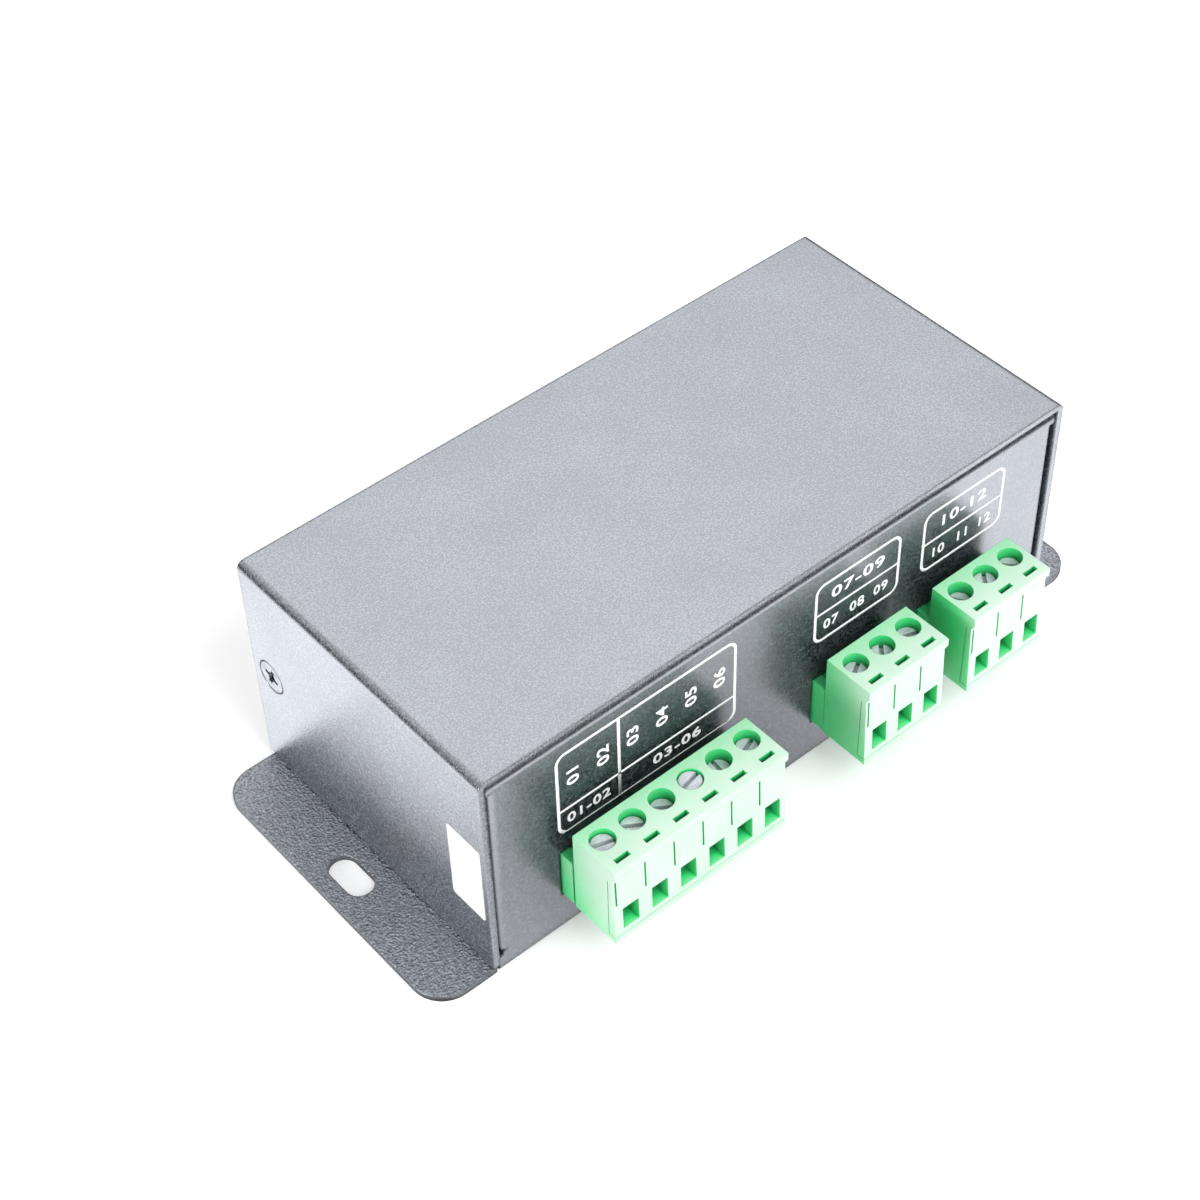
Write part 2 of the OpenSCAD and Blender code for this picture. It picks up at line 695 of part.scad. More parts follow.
module plug_housing(g) {
    x0 = block_x(g);
    x1 = x0 + block_w(g);
    back = back_y(g);
    front = back - plug_d;
    inset = header_wall + insert_gap;
    difference() {
        union() {
            along_x(x0, x1) block_outline(g);
            span([x0 + inset, back - eps, insert_low], [x1 - inset, back + insert_l, insert_top]);
            for (i = [0:way_counts[g] - 1]) translate([way_firsts[g] + i * pitch, 0, 0])
                span([-key_w / 2, back - eps, insert_top - eps],
                     [key_w / 2, back + key_l, top_z + header_h - 0.2]);
        }
        for (i = [0:way_counts[g] - 1]) translate([way_firsts[g] + i * pitch, 0, 0]) way_cuts(g);
        for (i = [1:way_counts[g] - 1]) translate([way_firsts[g] + (i - 0.5) * pitch, 0, 0])
            span([-finger_gap / 2, back + key_l + 0.6, insert_low - eps],
                 [finger_gap / 2, back + insert_l + eps, insert_top + eps]);
        span([x0 - eps, front - eps, block_low + seam_z],
             [x1 + eps, face_y(g, block_low + seam_z) + seam, block_low + seam_z + seam]);
        for (x = [x0, x1]) {
            span([x - seam, front + seam_y, block_low + seam_z],
                 [x + seam, front + seam_y + seam, groove_top]);
            span([x - seam, front, block_low + seam_z],
                 [x + seam, front + seam_y + seam, block_low + seam_z + seam]);
        }
    }
}

module power_plug_housing() color("#35b565") plug_housing(0);
module data_in_plug_housing() color("#35b565") plug_housing(1);
module data_out_plug_housing() color("#35b565") plug_housing(2);

// A contact: a tongue through the cage, a web, and two leaves that hold the pin between them
module contact(g) {
    tip = well_axis_y(g) - cage_d / 2 - seat + running;
    web = pin_tip_y - 0.6;
    low = pin_axis_z - 1;
    span([-tongue_w / 2, tip, tongue_z], [tongue_w / 2, web - 0.5 + eps, tongue_z + tongue_t]);
    span([-socket_out, web - 0.5, low], [socket_out, web, tongue_z + tongue_t]);
    for (s = [0, 1]) mirror([s, 0, 0])
        span([socket_out - socket_t, web - eps, low],
             [socket_out, back_y(g) + insert_l - 0.8, tongue_z + tongue_t]);
}

module plug_contacts(g) {
    for (i = [0:way_counts[g] - 1]) translate([way_firsts[g] + i * pitch, 0, 0]) contact(g);
}

module power_plug_contacts() color("gold") plug_contacts(0);
module data_in_plug_contacts() color("gold") plug_contacts(1);
module data_out_plug_contacts() color("gold") plug_contacts(2);

// Slotted screw for way i, at its own depth and angle
module clamp_screw(i) color("silver")
    translate([way_x(i), well_axis_y(way_group(i)), block_top - clamp_drops[i]]) rotate(clamp_angles[i])
        difference() {
            union() {
                translate([0, 0, -clamp_head_h]) cylinder(d = clamp_head_d, h = clamp_head_h - 0.2);
                translate([0, 0, -0.2]) cylinder(d1 = clamp_head_d, d2 = clamp_head_d - 0.4, h = 0.2);
                translate([0, 0, -clamp_head_h - clamp_screw_l])
                    cylinder(d = clamp_screw_d, h = clamp_screw_l + 1);
            }
            translate([-clamp_head_d, -driver_w / 2, -driver_depth])
                cube([2 * clamp_head_d, driver_w, driver_depth + eps]);
        }

// Cage for way i: a box open along Y, with a threaded top that the screw passes through
module clamp_cage(i) color("lightgray")
    translate([way_x(i), well_axis_y(way_group(i)), cage_low]) difference() {
        span([-cage_w / 2, -cage_d / 2, 0], [cage_w / 2, cage_d / 2, cage_h]);
        span([-cage_w / 2 + cage_t, -cage_d / 2 - eps, cage_t],
             [cage_w / 2 - cage_t, cage_d / 2 + eps, cage_h - cage_top]);
        translate([0, 0, cage_h - cage_top - eps])
            cylinder(d = clamp_screw_d + 2 * running, h = cage_top + 2 * eps);
    }

function switch_pin_x(i) = switch_x + (i - (switch_ways - 1) / 2) * switch_pitch;
function switch_pin_y(row) = switch_face_y - switch_d + 1 + row * (switch_d - 2.6);

// Switch block with one window for each lever, and a shallow step round its face
module switch_body() color("#b3252b") difference() {
    windows_top = lever_low + lever_h + lever_travel;
    span([switch_x - switch_body_w / 2, switch_face_y - switch_d, top_z],
         [switch_x + switch_body_w / 2, switch_face_y, top_z + switch_h]);
    for (i = [0:switch_ways - 1])
        span([switch_pin_x(i) - lever_w / 2 - seat, switch_face_y - lever_depth, lever_low - seat],
             [switch_pin_x(i) + lever_w / 2 + seat, switch_face_y + eps, windows_top + seat]);
    span([switch_x - switch_body_w / 2 + 0.6, switch_face_y - 0.2, lever_low - 0.8],
         [switch_x + switch_body_w / 2 - 0.6, switch_face_y + eps, windows_top + 0.8]);
}

// Lever i: a block that slides in its window, with a raised thumb ridge
module switch_lever(i) color("white") translate([switch_pin_x(i), 0, lever_low]) {
    span([-lever_w / 2, switch_face_y - lever_depth + running, 0],
         [lever_w / 2, switch_face_y - 0.2, lever_h]);
    along_x(-lever_w / 2, lever_w / 2) polygon([
        [switch_face_y - 0.2 - eps, 0.2], [switch_face_y + lever_reach, 0.4],
        [switch_face_y + lever_reach, lever_h - 0.4], [switch_face_y - 0.2 - eps, lever_h - 0.2]
    ]);
}

lamp_base_y = half_d - 0.1 - lamp_l;
lamp_lead_y = lamp_base_y - 1.5;
module status_lamp() color("#d8453c") {
    translate([lamp_x, lamp_base_y, lamp_axis_z]) rotate([-90, 0, 0]) {
        cylinder(d = lamp_d + 0.8, h = 1);
        cylinder(d = lamp_d, h = lamp_l - lamp_d / 2);
        translate([0, 0, lamp_l - lamp_d / 2]) intersection() {
            sphere(d = lamp_d);
            translate([0, 0, lamp_d / 2]) cube(lamp_d, center = true);
        }
    }
    for (s = [-1, 1]) translate([lamp_x + s * lamp_step / 2, 0, 0]) along_x(-0.25, 0.25) polygon([
        [lamp_base_y, lamp_axis_z - 0.25], [lamp_base_y, lamp_axis_z + 0.25],
        [lamp_lead_y - 0.25, lamp_axis_z + 0.25], [lamp_lead_y - 0.25, board_z - 1.2],
        [lamp_lead_y + 0.25, board_z - 1.2], [lamp_lead_y + 0.25, lamp_axis_z - 0.25]
    ]);
}

// A flat package on the board: body with bevelled top edges, drawn in Y and Z
module package(w, d, h) {
    bevel = h * 0.25;
    along_x(-w / 2, w / 2) polygon([
        [-d / 2, 0.1], [d / 2, 0.1], [d / 2, h - bevel], [d / 2 - bevel, h],
        [-d / 2 + bevel, h], [-d / 2, h - bevel]
    ]);
}

// A row of gull-wing leads along +Y of a package d deep
module leads(n, step, d) {
    for (i = [0:n - 1]) translate([(i - (n - 1) / 2) * step - 0.2, 0, 0]) along_x(0, 0.4) polygon([
        [d / 2 - eps, 0.8], [d / 2 + 0.4, 0.8], [d / 2 + 0.6, 0], [d / 2 + 1.1, 0], [d / 2 + 1.1, 0.2],
        [d / 2 + 0.75, 0.2], [d / 2 + 0.55, 1], [d / 2 - eps, 1]
    ]);
}

module power_transistors() color("#26282b")
    for (i = [0:2]) translate([-board_x + transistor_inset + i * transistor_step, -transistor_y, top_z]) {
        package(transistor_w, transistor_d, transistor_h);
        span([-0.4 * transistor_w, transistor_d / 2 - 0.05, 0],
             [0.4 * transistor_w, transistor_d / 2 + 1, 0.5]);
        mirror([0, 1, 0]) leads(2, 0.7 * transistor_w, transistor_d);
    }

// A can with a crimped ring, on a plastic foot with two cut corners
module filter_capacitors() color("#30343a")
    for (i = [0, 1]) translate([-board_x + capacitor_inset + i * capacitor_step, capacitor_y, top_z]) {
        r = capacitor_d / 2;
        foot = capacitor_d + 0.3;
        linear_extrude(can_foot) difference() {
            square(foot, center = true);
            for (s = [-1, 1])
                translate([foot / 2, s * foot / 2]) rotate(45) square(0.22 * capacitor_d, center = true);
        }
        top = capacitor_h - can_foot;
        translate([0, 0, can_foot - eps]) rotate_extrude() polygon([
            [0, 0], [r, 0], [r, 1], [r - 0.3, 1.4], [r - 0.3, 1.9], [r, 2.3], [r, top - 0.5],
            [r - 0.3, top], [r - 1, top], [r - 1, top - 0.2], [0, top - 0.2]
        ]);
    }

module choke() color("#3b3d40") translate([-board_x + choke_inset, choke_y, top_z]) {
    linear_extrude(choke_h) intersection() {
        square(choke_w, center = true);
        circle(d = 1.25 * choke_w);
    }
    for (s = [-1, 1]) translate([s * 0.47 * choke_w, 0, 0])
        span([-0.5, -0.2 * choke_w, 0], [0.6, 0.2 * choke_w, 0.3 * choke_h]);
}

module microcontroller() color("#222426") translate([board_x - controller_inset, controller_y, top_z]) {
    package(controller_l, controller_d, controller_h);
    both_sides() leads(10, 0.099 * controller_l, controller_d);
}

module line_transceivers() color("#222426")
    for (i = [0, 1]) translate([board_x - transceiver_inset - i * transceiver_step, -transceiver_y, top_z]) {
        package(transceiver_l, transceiver_d, chip_h);
        both_sides() leads(4, 0.26 * transceiver_l, transceiver_d);
    }

module voltage_regulator() color("#26282b") translate([board_x - regulator_inset, -regulator_y, top_z]) {
    package(regulator_l, regulator_d, chip_h);
    leads(3, 0.35 * regulator_l, regulator_d);
    mirror([0, 1, 0]) leads(1, 1, regulator_d);
}

module clock_crystal() color("silver") translate([board_x - crystal_inset, controller_y, top_z]) {
    linear_extrude(0.6) rotate(90) slot(crystal_w, crystal_l);
    translate([0, 0, 0.6 - eps]) linear_extrude(crystal_h - 0.6)
        rotate(90) slot(crystal_w - 0.8, crystal_l - 0.8);
}

base_tray();
cover();
cover_screws();
circuit_board();
board_standoffs();
board_screws();
power_header();
data_in_header();
data_out_header();
contact_pins();
power_plug_housing();
data_in_plug_housing();
data_out_plug_housing();
power_plug_contacts();
data_in_plug_contacts();
data_out_plug_contacts();
for (i = [0:11]) clamp_screw(i);
for (i = [0:11]) clamp_cage(i);
switch_body();
for (i = [0:9]) switch_lever(i);
status_lamp();
power_transistors();
filter_capacitors();
choke();
microcontroller();
line_transceivers();
voltage_regulator();
clock_crystal();
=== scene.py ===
"""Looks of a three-channel lighting decoder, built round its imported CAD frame.

The frame is in metres: X runs along the case, -Y is the terminal side and Z is up, from the underside of the
base. Sizes here are in millimetres where a name ends in _mm, and otherwise in metres.
"""

import json
import logging
import math
from dataclasses import dataclass, field
from enum import Enum
from typing import Protocol

import bmesh
import bpy
import numpy as np
from mathutils import Matrix, Vector

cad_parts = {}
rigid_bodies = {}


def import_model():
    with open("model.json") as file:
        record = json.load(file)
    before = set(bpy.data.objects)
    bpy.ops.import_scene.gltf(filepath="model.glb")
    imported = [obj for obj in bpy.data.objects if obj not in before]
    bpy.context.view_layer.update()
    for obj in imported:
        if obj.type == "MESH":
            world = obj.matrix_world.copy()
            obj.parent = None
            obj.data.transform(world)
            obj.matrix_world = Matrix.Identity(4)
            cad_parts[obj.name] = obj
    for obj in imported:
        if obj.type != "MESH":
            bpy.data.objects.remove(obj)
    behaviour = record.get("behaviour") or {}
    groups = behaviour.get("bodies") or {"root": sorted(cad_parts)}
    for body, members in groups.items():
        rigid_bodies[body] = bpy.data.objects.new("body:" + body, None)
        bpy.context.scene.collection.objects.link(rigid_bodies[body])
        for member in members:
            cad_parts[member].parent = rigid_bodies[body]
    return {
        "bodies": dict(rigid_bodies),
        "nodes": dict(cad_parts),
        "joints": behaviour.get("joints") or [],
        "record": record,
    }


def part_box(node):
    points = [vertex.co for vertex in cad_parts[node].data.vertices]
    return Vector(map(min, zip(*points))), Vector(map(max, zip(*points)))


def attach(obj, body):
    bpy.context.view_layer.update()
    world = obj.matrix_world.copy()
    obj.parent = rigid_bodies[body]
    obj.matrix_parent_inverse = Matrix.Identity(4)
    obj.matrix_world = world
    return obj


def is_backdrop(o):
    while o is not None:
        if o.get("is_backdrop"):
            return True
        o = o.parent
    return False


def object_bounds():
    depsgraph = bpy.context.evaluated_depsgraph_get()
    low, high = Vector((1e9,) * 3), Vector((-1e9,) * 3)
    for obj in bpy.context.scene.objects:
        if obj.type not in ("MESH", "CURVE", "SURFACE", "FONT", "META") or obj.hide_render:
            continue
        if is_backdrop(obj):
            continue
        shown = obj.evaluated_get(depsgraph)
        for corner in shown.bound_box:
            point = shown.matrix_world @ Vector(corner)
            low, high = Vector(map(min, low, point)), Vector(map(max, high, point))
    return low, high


Tree = bpy.types.NodeTree
Socket = bpy.types.NodeSocket
Material = bpy.types.Material
Object = bpy.types.Object
Nodes = dict[str, Object]
MeshData = tuple[np.ndarray, np.ndarray]
Pair = tuple[float, float]

LOG = logging.getLogger("decoder")
MM = 0.001
CASE_BODY = "case"
WAY_PITCH_MM = 5.08
LEVERS = 10
HEAD_RADIUS_MM = 2.75
PAPER_GAP_MM = 0.02
INK_MM = 0.02
BOLD_SHARE, LETTER_SPACING = 0.022, 1.12
MIX_A, MIX_B, MIX_RESULT = 6, 7, 2  # the mix node's colour sockets, which share their names with its other sockets
BLOTCH_SCALE, DRIFT_SCALE, STAIN_SCALE, HAZE_SCALE = 90.0, 160.0, 700.0, 900.0  # cells in a metre


class Wall(Enum):
    """The walls of the case that carry print or a label, by the way that they face."""

    FRONT = "front"
    LEFT_END = "left end"
    BACK = "back"


# ---- meshes ----


def metres(pair_mm: Pair) -> Pair:
    """Turns two lengths from millimetres into metres."""
    return pair_mm[0] * MM, pair_mm[1] * MM


def linear(hex_colour: str) -> tuple[float, float, float, float]:
    """Turns an sRGB hex colour into linear light.

    Formula: c / 12.92 under 0.04045, and ((c + 0.055) / 1.055) to the power 2.4 above it.

    Args:
        hex_colour: Six hex digits, with or without a hash.

    Returns:
        Red, green, blue and an alpha of one.
    """
    digits = hex_colour.lstrip("#")
    c = np.array([int(digits[i : i + 2], 16) for i in (0, 2, 4)]) / 255
    lin = np.where(c < 0.04045, c / 12.92, ((c + 0.055) / 1.055) ** 2.4)
    return (*(float(v) for v in lin), 1.0)


@dataclass(frozen=True)
class Face:
    """The outer face of a wall, which lies at a place along the wall's normal axis."""

    wall: Wall
    at: float

    def points(self, flat: np.ndarray) -> np.ndarray:
        """Places points drawn on paper onto the face, as read from outside.

        Formula: paper right goes along the wall to the reader's right, paper up goes up, and paper depth goes out.

        Args:
            flat: Points as (right, up, out), in metres.

        Returns:
            The points in the row's frame.
        """
        right, up, out = flat.T
        if self.wall is Wall.FRONT:
            return np.stack([right, self.at - out, up], axis=1)
        if self.wall is Wall.BACK:
            return np.stack([-right, self.at + out, up], axis=1)
        return np.stack([self.at - out, -right, up], axis=1)


def make_object(name: str, points: np.ndarray, faces: np.ndarray, finish: Material) -> Object:
    """Makes an object at the origin whose place is in its mesh.

    Args:
        name: The piece's name.
        points: Vertices, in metres in the row's frame.
        faces: Rows of vertex numbers, all of one length.
        finish: Its material.

    Returns:
        The object, linked to the scene.
    """
    mesh = bpy.data.meshes.new(name)
    count, sides = faces.shape
    mesh.vertices.add(len(points))
    mesh.vertices.foreach_set("co", points.astype(np.float32).ravel())
    mesh.loops.add(count * sides)
    mesh.loops.foreach_set("vertex_index", faces.astype(np.int32).ravel())
    mesh.polygons.add(count)
    mesh.polygons.foreach_set("loop_start", np.arange(0, count * sides, sides, dtype=np.int32))
    mesh.update(calc_edges=True)
    mesh.validate()
    return link_mesh(name, mesh, finish)


def link_mesh(name: str, mesh: bpy.types.Mesh, finish: Material) -> Object:
    """Makes an unturned object at the origin from a mesh.

    Args:
        name: The piece's name.
        mesh: Its mesh.
        finish: Its only material.

    Returns:
        The object, linked to the scene.
    """
    mesh.materials.clear()
    mesh.materials.append(finish)
    made = bpy.data.objects.new(name, mesh)
    bpy.context.scene.collection.objects.link(made)
    return made


def close_and_turn_out(piece: Object) -> None:
    """Merges doubled vertices and points all faces outwards.

    Args:
        piece: The object whose mesh is closed.
    """
    bm = bmesh.new()
    bm.from_mesh(piece.data)
    bmesh.ops.remove_doubles(bm, verts=bm.verts, dist=1e-7)
    bmesh.ops.recalc_face_normals(bm, faces=bm.faces)
    bm.to_mesh(piece.data)
    bm.free()


def rounded_outline(width: float, height: float, radius: float, steps: int = 10) -> np.ndarray:
    """A rounded rectangle round the origin.

    Formula: each corner is a quarter circle about the point that lies a radius in from both sides.

    Args:
        width: Full width.
        height: Full height.
        radius: Corner radius.
        steps: Segments of a quarter circle.

    Returns:
        Points as (right, up), anticlockwise, the first not repeated.
    """
    turn = np.linspace(0, math.pi / 2, steps + 1)
    quarter = np.arange(4)[:, None] * math.pi / 2 + turn[None, :]
    side = np.array([[1, 1], [-1, 1], [-1, -1], [1, -1]])
    centre = side * (np.array([width, height]) / 2 - radius)
    arc = radius * np.stack([np.cos(quarter), np.sin(quarter)], axis=2)
    return (centre[:, None, :] + arc).reshape(-1, 2)


def ribbon(path: np.ndarray, width: float | np.ndarray, thick: float, closed: bool) -> MeshData:
    """Carries a flat rectangular profile along a path on paper.

    Formula: the tangent is the difference of a point's neighbours, its normal is the tangent turned by a right
    angle, and each of the four profile corners is path + normal * (+-width / 2), at height 0 or thick.

    Args:
        path: Points as (right, up).
        width: Width of the line, or one for each point.
        thick: How far it stands out of the wall.
        closed: Whether the path's end joins its start.

    Returns:
        Points as (right, up, out), and quads.
    """
    count = len(path)
    before, after = np.roll(path, 1, 0), np.roll(path, -1, 0)
    if not closed:
        before[0], after[-1] = path[0], path[-1]
    tangent = after - before
    tangent /= np.linalg.norm(tangent, axis=1)[:, None]
    normal = np.stack([-tangent[:, 1], tangent[:, 0]], axis=1)
    side = np.array([-0.5, 0.5, 0.5, -0.5])[None, :, None] * np.broadcast_to(width, count)[:, None, None]
    flat = path[:, None, :] + normal[:, None, :] * side
    out = np.broadcast_to(np.array([0.0, 0.0, thick, thick]), (count, 4))
    points = np.concatenate([flat, out[:, :, None]], axis=2).reshape(-1, 3)
    spans = count if closed else count - 1
    i, j = np.meshgrid(np.arange(spans), np.arange(4), indexing="ij")
    a, b = i * 4 + j, i * 4 + (j + 1) % 4
    c, d = ((i + 1) % count) * 4 + (j + 1) % 4, ((i + 1) % count) * 4 + j
    faces = np.stack([a, b, c, d], axis=2).reshape(-1, 4)
    if not closed:
        last = (count - 1) * 4
        faces = np.vstack([faces, [[3, 2, 1, 0]], [[last, last + 1, last + 2, last + 3]]])
    return points, faces


def joined(parts: list[MeshData]) -> MeshData:
    """Puts several meshes of quads into one, with their vertex numbers moved on.

    Args:
        parts: The meshes.

    Returns:
        The one mesh.
    """
    starts = np.cumsum([0] + [len(points) for points, _ in parts[:-1]])
    return (
        np.vstack([points for points, _ in parts]),
        np.vstack([faces + start for (_, faces), start in zip(parts, starts)]),
    )


def ring_quads(rings: int, sides: int) -> np.ndarray:
    """Joins rings of points that are numbered ring after ring, with a quad between each four neighbours.

    Args:
        rings: How many rings.
        sides: Points of a ring.

    Returns:
        The quads.
    """
    i, j = np.meshgrid(np.arange(rings - 1), np.arange(sides), indexing="ij")
    k = (j + 1) % sides
    return np.stack([i * sides + j, (i + 1) * sides + j, (i + 1) * sides + k, i * sides + k], axis=2).reshape(-1, 4)


def fan(hub: int, starts: np.ndarray, ends: np.ndarray) -> np.ndarray:
    """Joins a hub to the start and the end of each edge with a triangle."""
    return np.stack([np.full(len(starts), hub), starts, ends], axis=1)


def in_triangles(quads: np.ndarray, *fans: np.ndarray) -> np.ndarray:
    """Halves quads and lists them with the triangles of fans."""
    return np.vstack([quads[:, [0, 1, 2]], quads[:, [0, 2, 3]], *fans])


# ---- nodes ----


def add_node(tree: Tree, kind: str, values: dict | None = None) -> bpy.types.Node:
    """Adds one node, with its settings and what feeds it.

    Args:
        tree: The node tree.
        kind: The node's Blender type.
        values: What goes in, by socket name or number, or by property name. A socket is linked, a value is set.

    Returns:
        The node.
    """
    node = tree.nodes.new(kind)
    for key, value in (values or {}).items():
        if isinstance(value, Socket):
            tree.links.new(value, node.inputs[key])
        elif isinstance(key, int) or key in node.inputs:
            node.inputs[key].default_value = value
        else:
            setattr(node, key, value)
    return node


def new_material(name: str) -> tuple[Material, Tree, Socket]:
    """Makes an empty node material.

    Args:
        name: Its name.

    Returns:
        The material, its tree and its Object coordinates.
    """
    made = bpy.data.materials.new(name)
    made.use_nodes = True
    made.node_tree.nodes.clear()
    return made, made.node_tree, add_node(made.node_tree, "ShaderNodeTexCoord").outputs["Object"]


def ramp(tree: Tree, source: Socket, low: float, high: float, start: float = 0.0, end: float = 1.0) -> Socket:
    """Stretches a value so that low becomes start and high becomes end, clamped, and gives the result's socket."""
    values = {"From Min": low, "From Max": high, "To Min": start, "To Max": end, "Value": source}
    return add_node(tree, "ShaderNodeMapRange", values).outputs["Result"]


def combine(tree: Tree, operation: str, *values: object) -> Socket:
    """Does one sum on values, each a number or a socket, and gives the result's socket."""
    return add_node(tree, "ShaderNodeMath", {"operation": operation, **dict(enumerate(values))}).outputs["Value"]


def combine_vectors(tree: Tree, operation: str, *values: object) -> Socket:
    """Does one sum on vectors, each three numbers or a socket, and gives the result's socket."""
    node = add_node(tree, "ShaderNodeVectorMath", {"operation": operation, **dict(enumerate(values))})
    return node.outputs["Value" if operation in ("LENGTH", "DISTANCE") else "Vector"]


def split_axes(tree: Tree, vector: Socket) -> bpy.types.bpy_prop_collection:
    """Splits a vector and gives its X, Y and Z sockets by name."""
    return add_node(tree, "ShaderNodeSeparateXYZ", {"Vector": vector}).outputs


def noise(tree: Tree, place: Socket, scale: float, detail: float, **more: float) -> Socket:
    """Adds noise with cells of 1 / scale metres, and more of the node's own inputs, and gives its socket."""
    values = {"Scale": scale, "Detail": detail, **more, "Vector": place}
    return add_node(tree, "ShaderNodeTexNoise", values).outputs["Fac"]


def blend_colours(tree: Tree, share: Socket, first: object, second: object) -> Socket:
    """Mixes two colours.

    Args:
        tree: The node tree.
        share: How much of the second.
        first: A hex string or a socket.
        second: A hex string or a socket.

    Returns:
        The result's socket.
    """
    colours = [linear(colour) if isinstance(colour, str) else colour for colour in (first, second)]
    values = {"data_type": "RGBA", 0: share, MIX_A: colours[0], MIX_B: colours[1]}
    return add_node(tree, "ShaderNodeMix", values).outputs[MIX_RESULT]


def rounded_edges(tree: Tree, radius_mm: float) -> Socket:
    """The normal with edges rounded to a radius, as a coat or a mould leaves them."""
    return add_node(tree, "ShaderNodeBevel", {"samples": 4, "Radius": radius_mm * MM}).outputs["Normal"]


def bumped(tree: Tree, height: Socket, distance_mm: float, **more: object) -> Socket:
    """The normal bent by a height over a distance, with more of the bump node's own inputs."""
    values = {"Strength": 1.0, "Distance": distance_mm * MM, "Height": height, **more}
    return add_node(tree, "ShaderNodeBump", values).outputs["Normal"]


def ray_kinds(tree: Tree) -> tuple[Socket, Socket]:
    """Gives what is 1 for camera rays, and what is 1 for rays that mirror or pass through something."""
    path = add_node(tree, "ShaderNodeLightPath").outputs
    return path["Is Camera Ray"], combine(tree, "MAXIMUM", path["Is Glossy Ray"], path["Is Transmission Ray"])


def as_mirrored(tree: Tree, colour: Socket, mirrored: str) -> Socket:
    """Swaps a colour for another one in rays that other surfaces mirror.

    Args:
        tree: The node tree.
        colour: The colour that is seen.
        mirrored: The colour that is mirrored, or nothing for the same one.

    Returns:
        The result's socket.
    """
    if not mirrored:
        return colour
    path = add_node(tree, "ShaderNodeLightPath").outputs
    return blend_colours(tree, path["Is Glossy Ray"], colour, mirrored)


def finish_material(made: Material, values: dict) -> Material:
    """Feeds a Principled shader to the material's output and gives the material back."""
    shader = add_node(made.node_tree, "ShaderNodeBsdfPrincipled", values)
    add_node(made.node_tree, "ShaderNodeOutputMaterial", {"Surface": shader.outputs[0]})
    return made


# ---- finishes ----


class Finish(Protocol):
    """What every finish can do."""

    def build(self) -> Material:
        """Builds the finish's material."""


@dataclass(frozen=True)
class PowderCoat:
    """Near-black polyester powder baked on steel: a glossy wrinkled skin that mirrors its surroundings softly.

    The colour itself is dark, and most of what the eye gets is the reflected room, broken up by the wrinkle.
    """

    name: str
    valley: str
    tip: str
    wrinkle_mm: float
    relief_mm: float
    grain_mm: float = 0.27  # the real grain is about half as wide, too fine for the render to hold
    grain_relief_mm: float = 0.02
    upright_share: float = 1.0
    roughness: float = 0.36
    gloss_spread: float = 0.06
    ior: float = 2.6
    specular: float = 1.0
    tint: str = "#eff3fb"
    rolled_mm: Pair = (0.0, 0.0)
    roll_depth_mm: float = 0.62
    blotch_share: float = 0.2
    tip_range: Pair = (0.56, 0.74)
    # painted glint: a paler colour on the high wrinkle of level faces, for the room that they mirror
    painted_crest_glint: str = ""
    painted_crest_glint_range: Pair = (0.47, 0.6)
    speck: str = "#e8e8e4"
    speck_gap_mm: float = 5.0
    speck_mm: float = 0.1
    speck_core_share: float = 0.6
    edge_mm: float = 0.5

    def build(self) -> Material:
        """Builds the material: wrinkle from cells and noise, a fine grain on it, slow blotches and dust specks.

        The powder lies thicker on level faces, so upright ones show only a share of the wrinkle. On level faces a
        paler colour is painted where the wrinkle is high: a painted glint, which stands in for the room that the
        crests mirror. Between the heights of rolled_mm the walls' sheared top edge rolls inwards by the square of
        the height.
        """
        made, tree, place = new_material(self.name)
        wrinkle = 1 / (self.wrinkle_mm * MM)
        cells = {"feature": "SMOOTH_F1", "Scale": wrinkle, "Smoothness": 0.5, "Vector": place}
        pits = add_node(tree, "ShaderNodeTexVoronoi", cells).outputs["Distance"]
        worms = noise(tree, place, 0.8 * wrinkle, 3.0, Roughness=0.6, Distortion=0.8)
        normal = rounded_edges(tree, self.edge_mm)
        if self.rolled_mm[1]:
            share = ramp(tree, split_axes(tree, place)["Z"], *metres(self.rolled_mm))
            square = combine(tree, "MULTIPLY", share, share)
            normal = bumped(tree, square, self.roll_depth_mm, invert=True, Normal=normal)
        facing = add_node(tree, "ShaderNodeNewGeometry").outputs["True Normal"]
        level = combine(tree, "ABSOLUTE", split_axes(tree, facing)["Z"])
        thickness = ramp(tree, level, 0.0, 1.0, self.upright_share)
        height = combine(tree, "ADD", pits, worms)
        normal = bumped(tree, height, self.relief_mm, Strength=thickness, Normal=normal)
        grain = noise(tree, place, 1 / (self.grain_mm * MM), 1.0)
        normal = bumped(tree, grain, self.grain_relief_mm, Normal=normal)
        worn = combine(tree, "MULTIPLY_ADD", noise(tree, place, BLOTCH_SCALE, 2.0), self.blotch_share, grain)
        colour = blend_colours(tree, ramp(tree, worn, *self.tip_range), self.valley, self.tip)
        # painted glint: paler where the wrinkle is high, on level faces only
        if self.painted_crest_glint:
            shown = combine(tree, "MULTIPLY", ramp(tree, worms, *self.painted_crest_glint_range), level)
            colour = blend_colours(tree, shown, colour, self.painted_crest_glint)
        specks = {"Scale": 1 / (self.speck_gap_mm * MM), "Vector": place}
        dust = add_node(tree, "ShaderNodeTexVoronoi", specks).outputs["Distance"]
        reach = self.speck_mm / self.speck_gap_mm
        colour = blend_colours(tree, ramp(tree, dust, reach, reach * self.speck_core_share), colour, self.speck)
        rough, smooth = self.roughness + self.gloss_spread, self.roughness - self.gloss_spread
        values = {
            "IOR": self.ior,
            "Specular IOR Level": self.specular,
            "Specular Tint": linear(self.tint),
            "Base Color": colour,
            "Roughness": ramp(tree, worms, 0.0, 1.0, rough, smooth),
            "Normal": normal,
        }
        return finish_material(made, values)


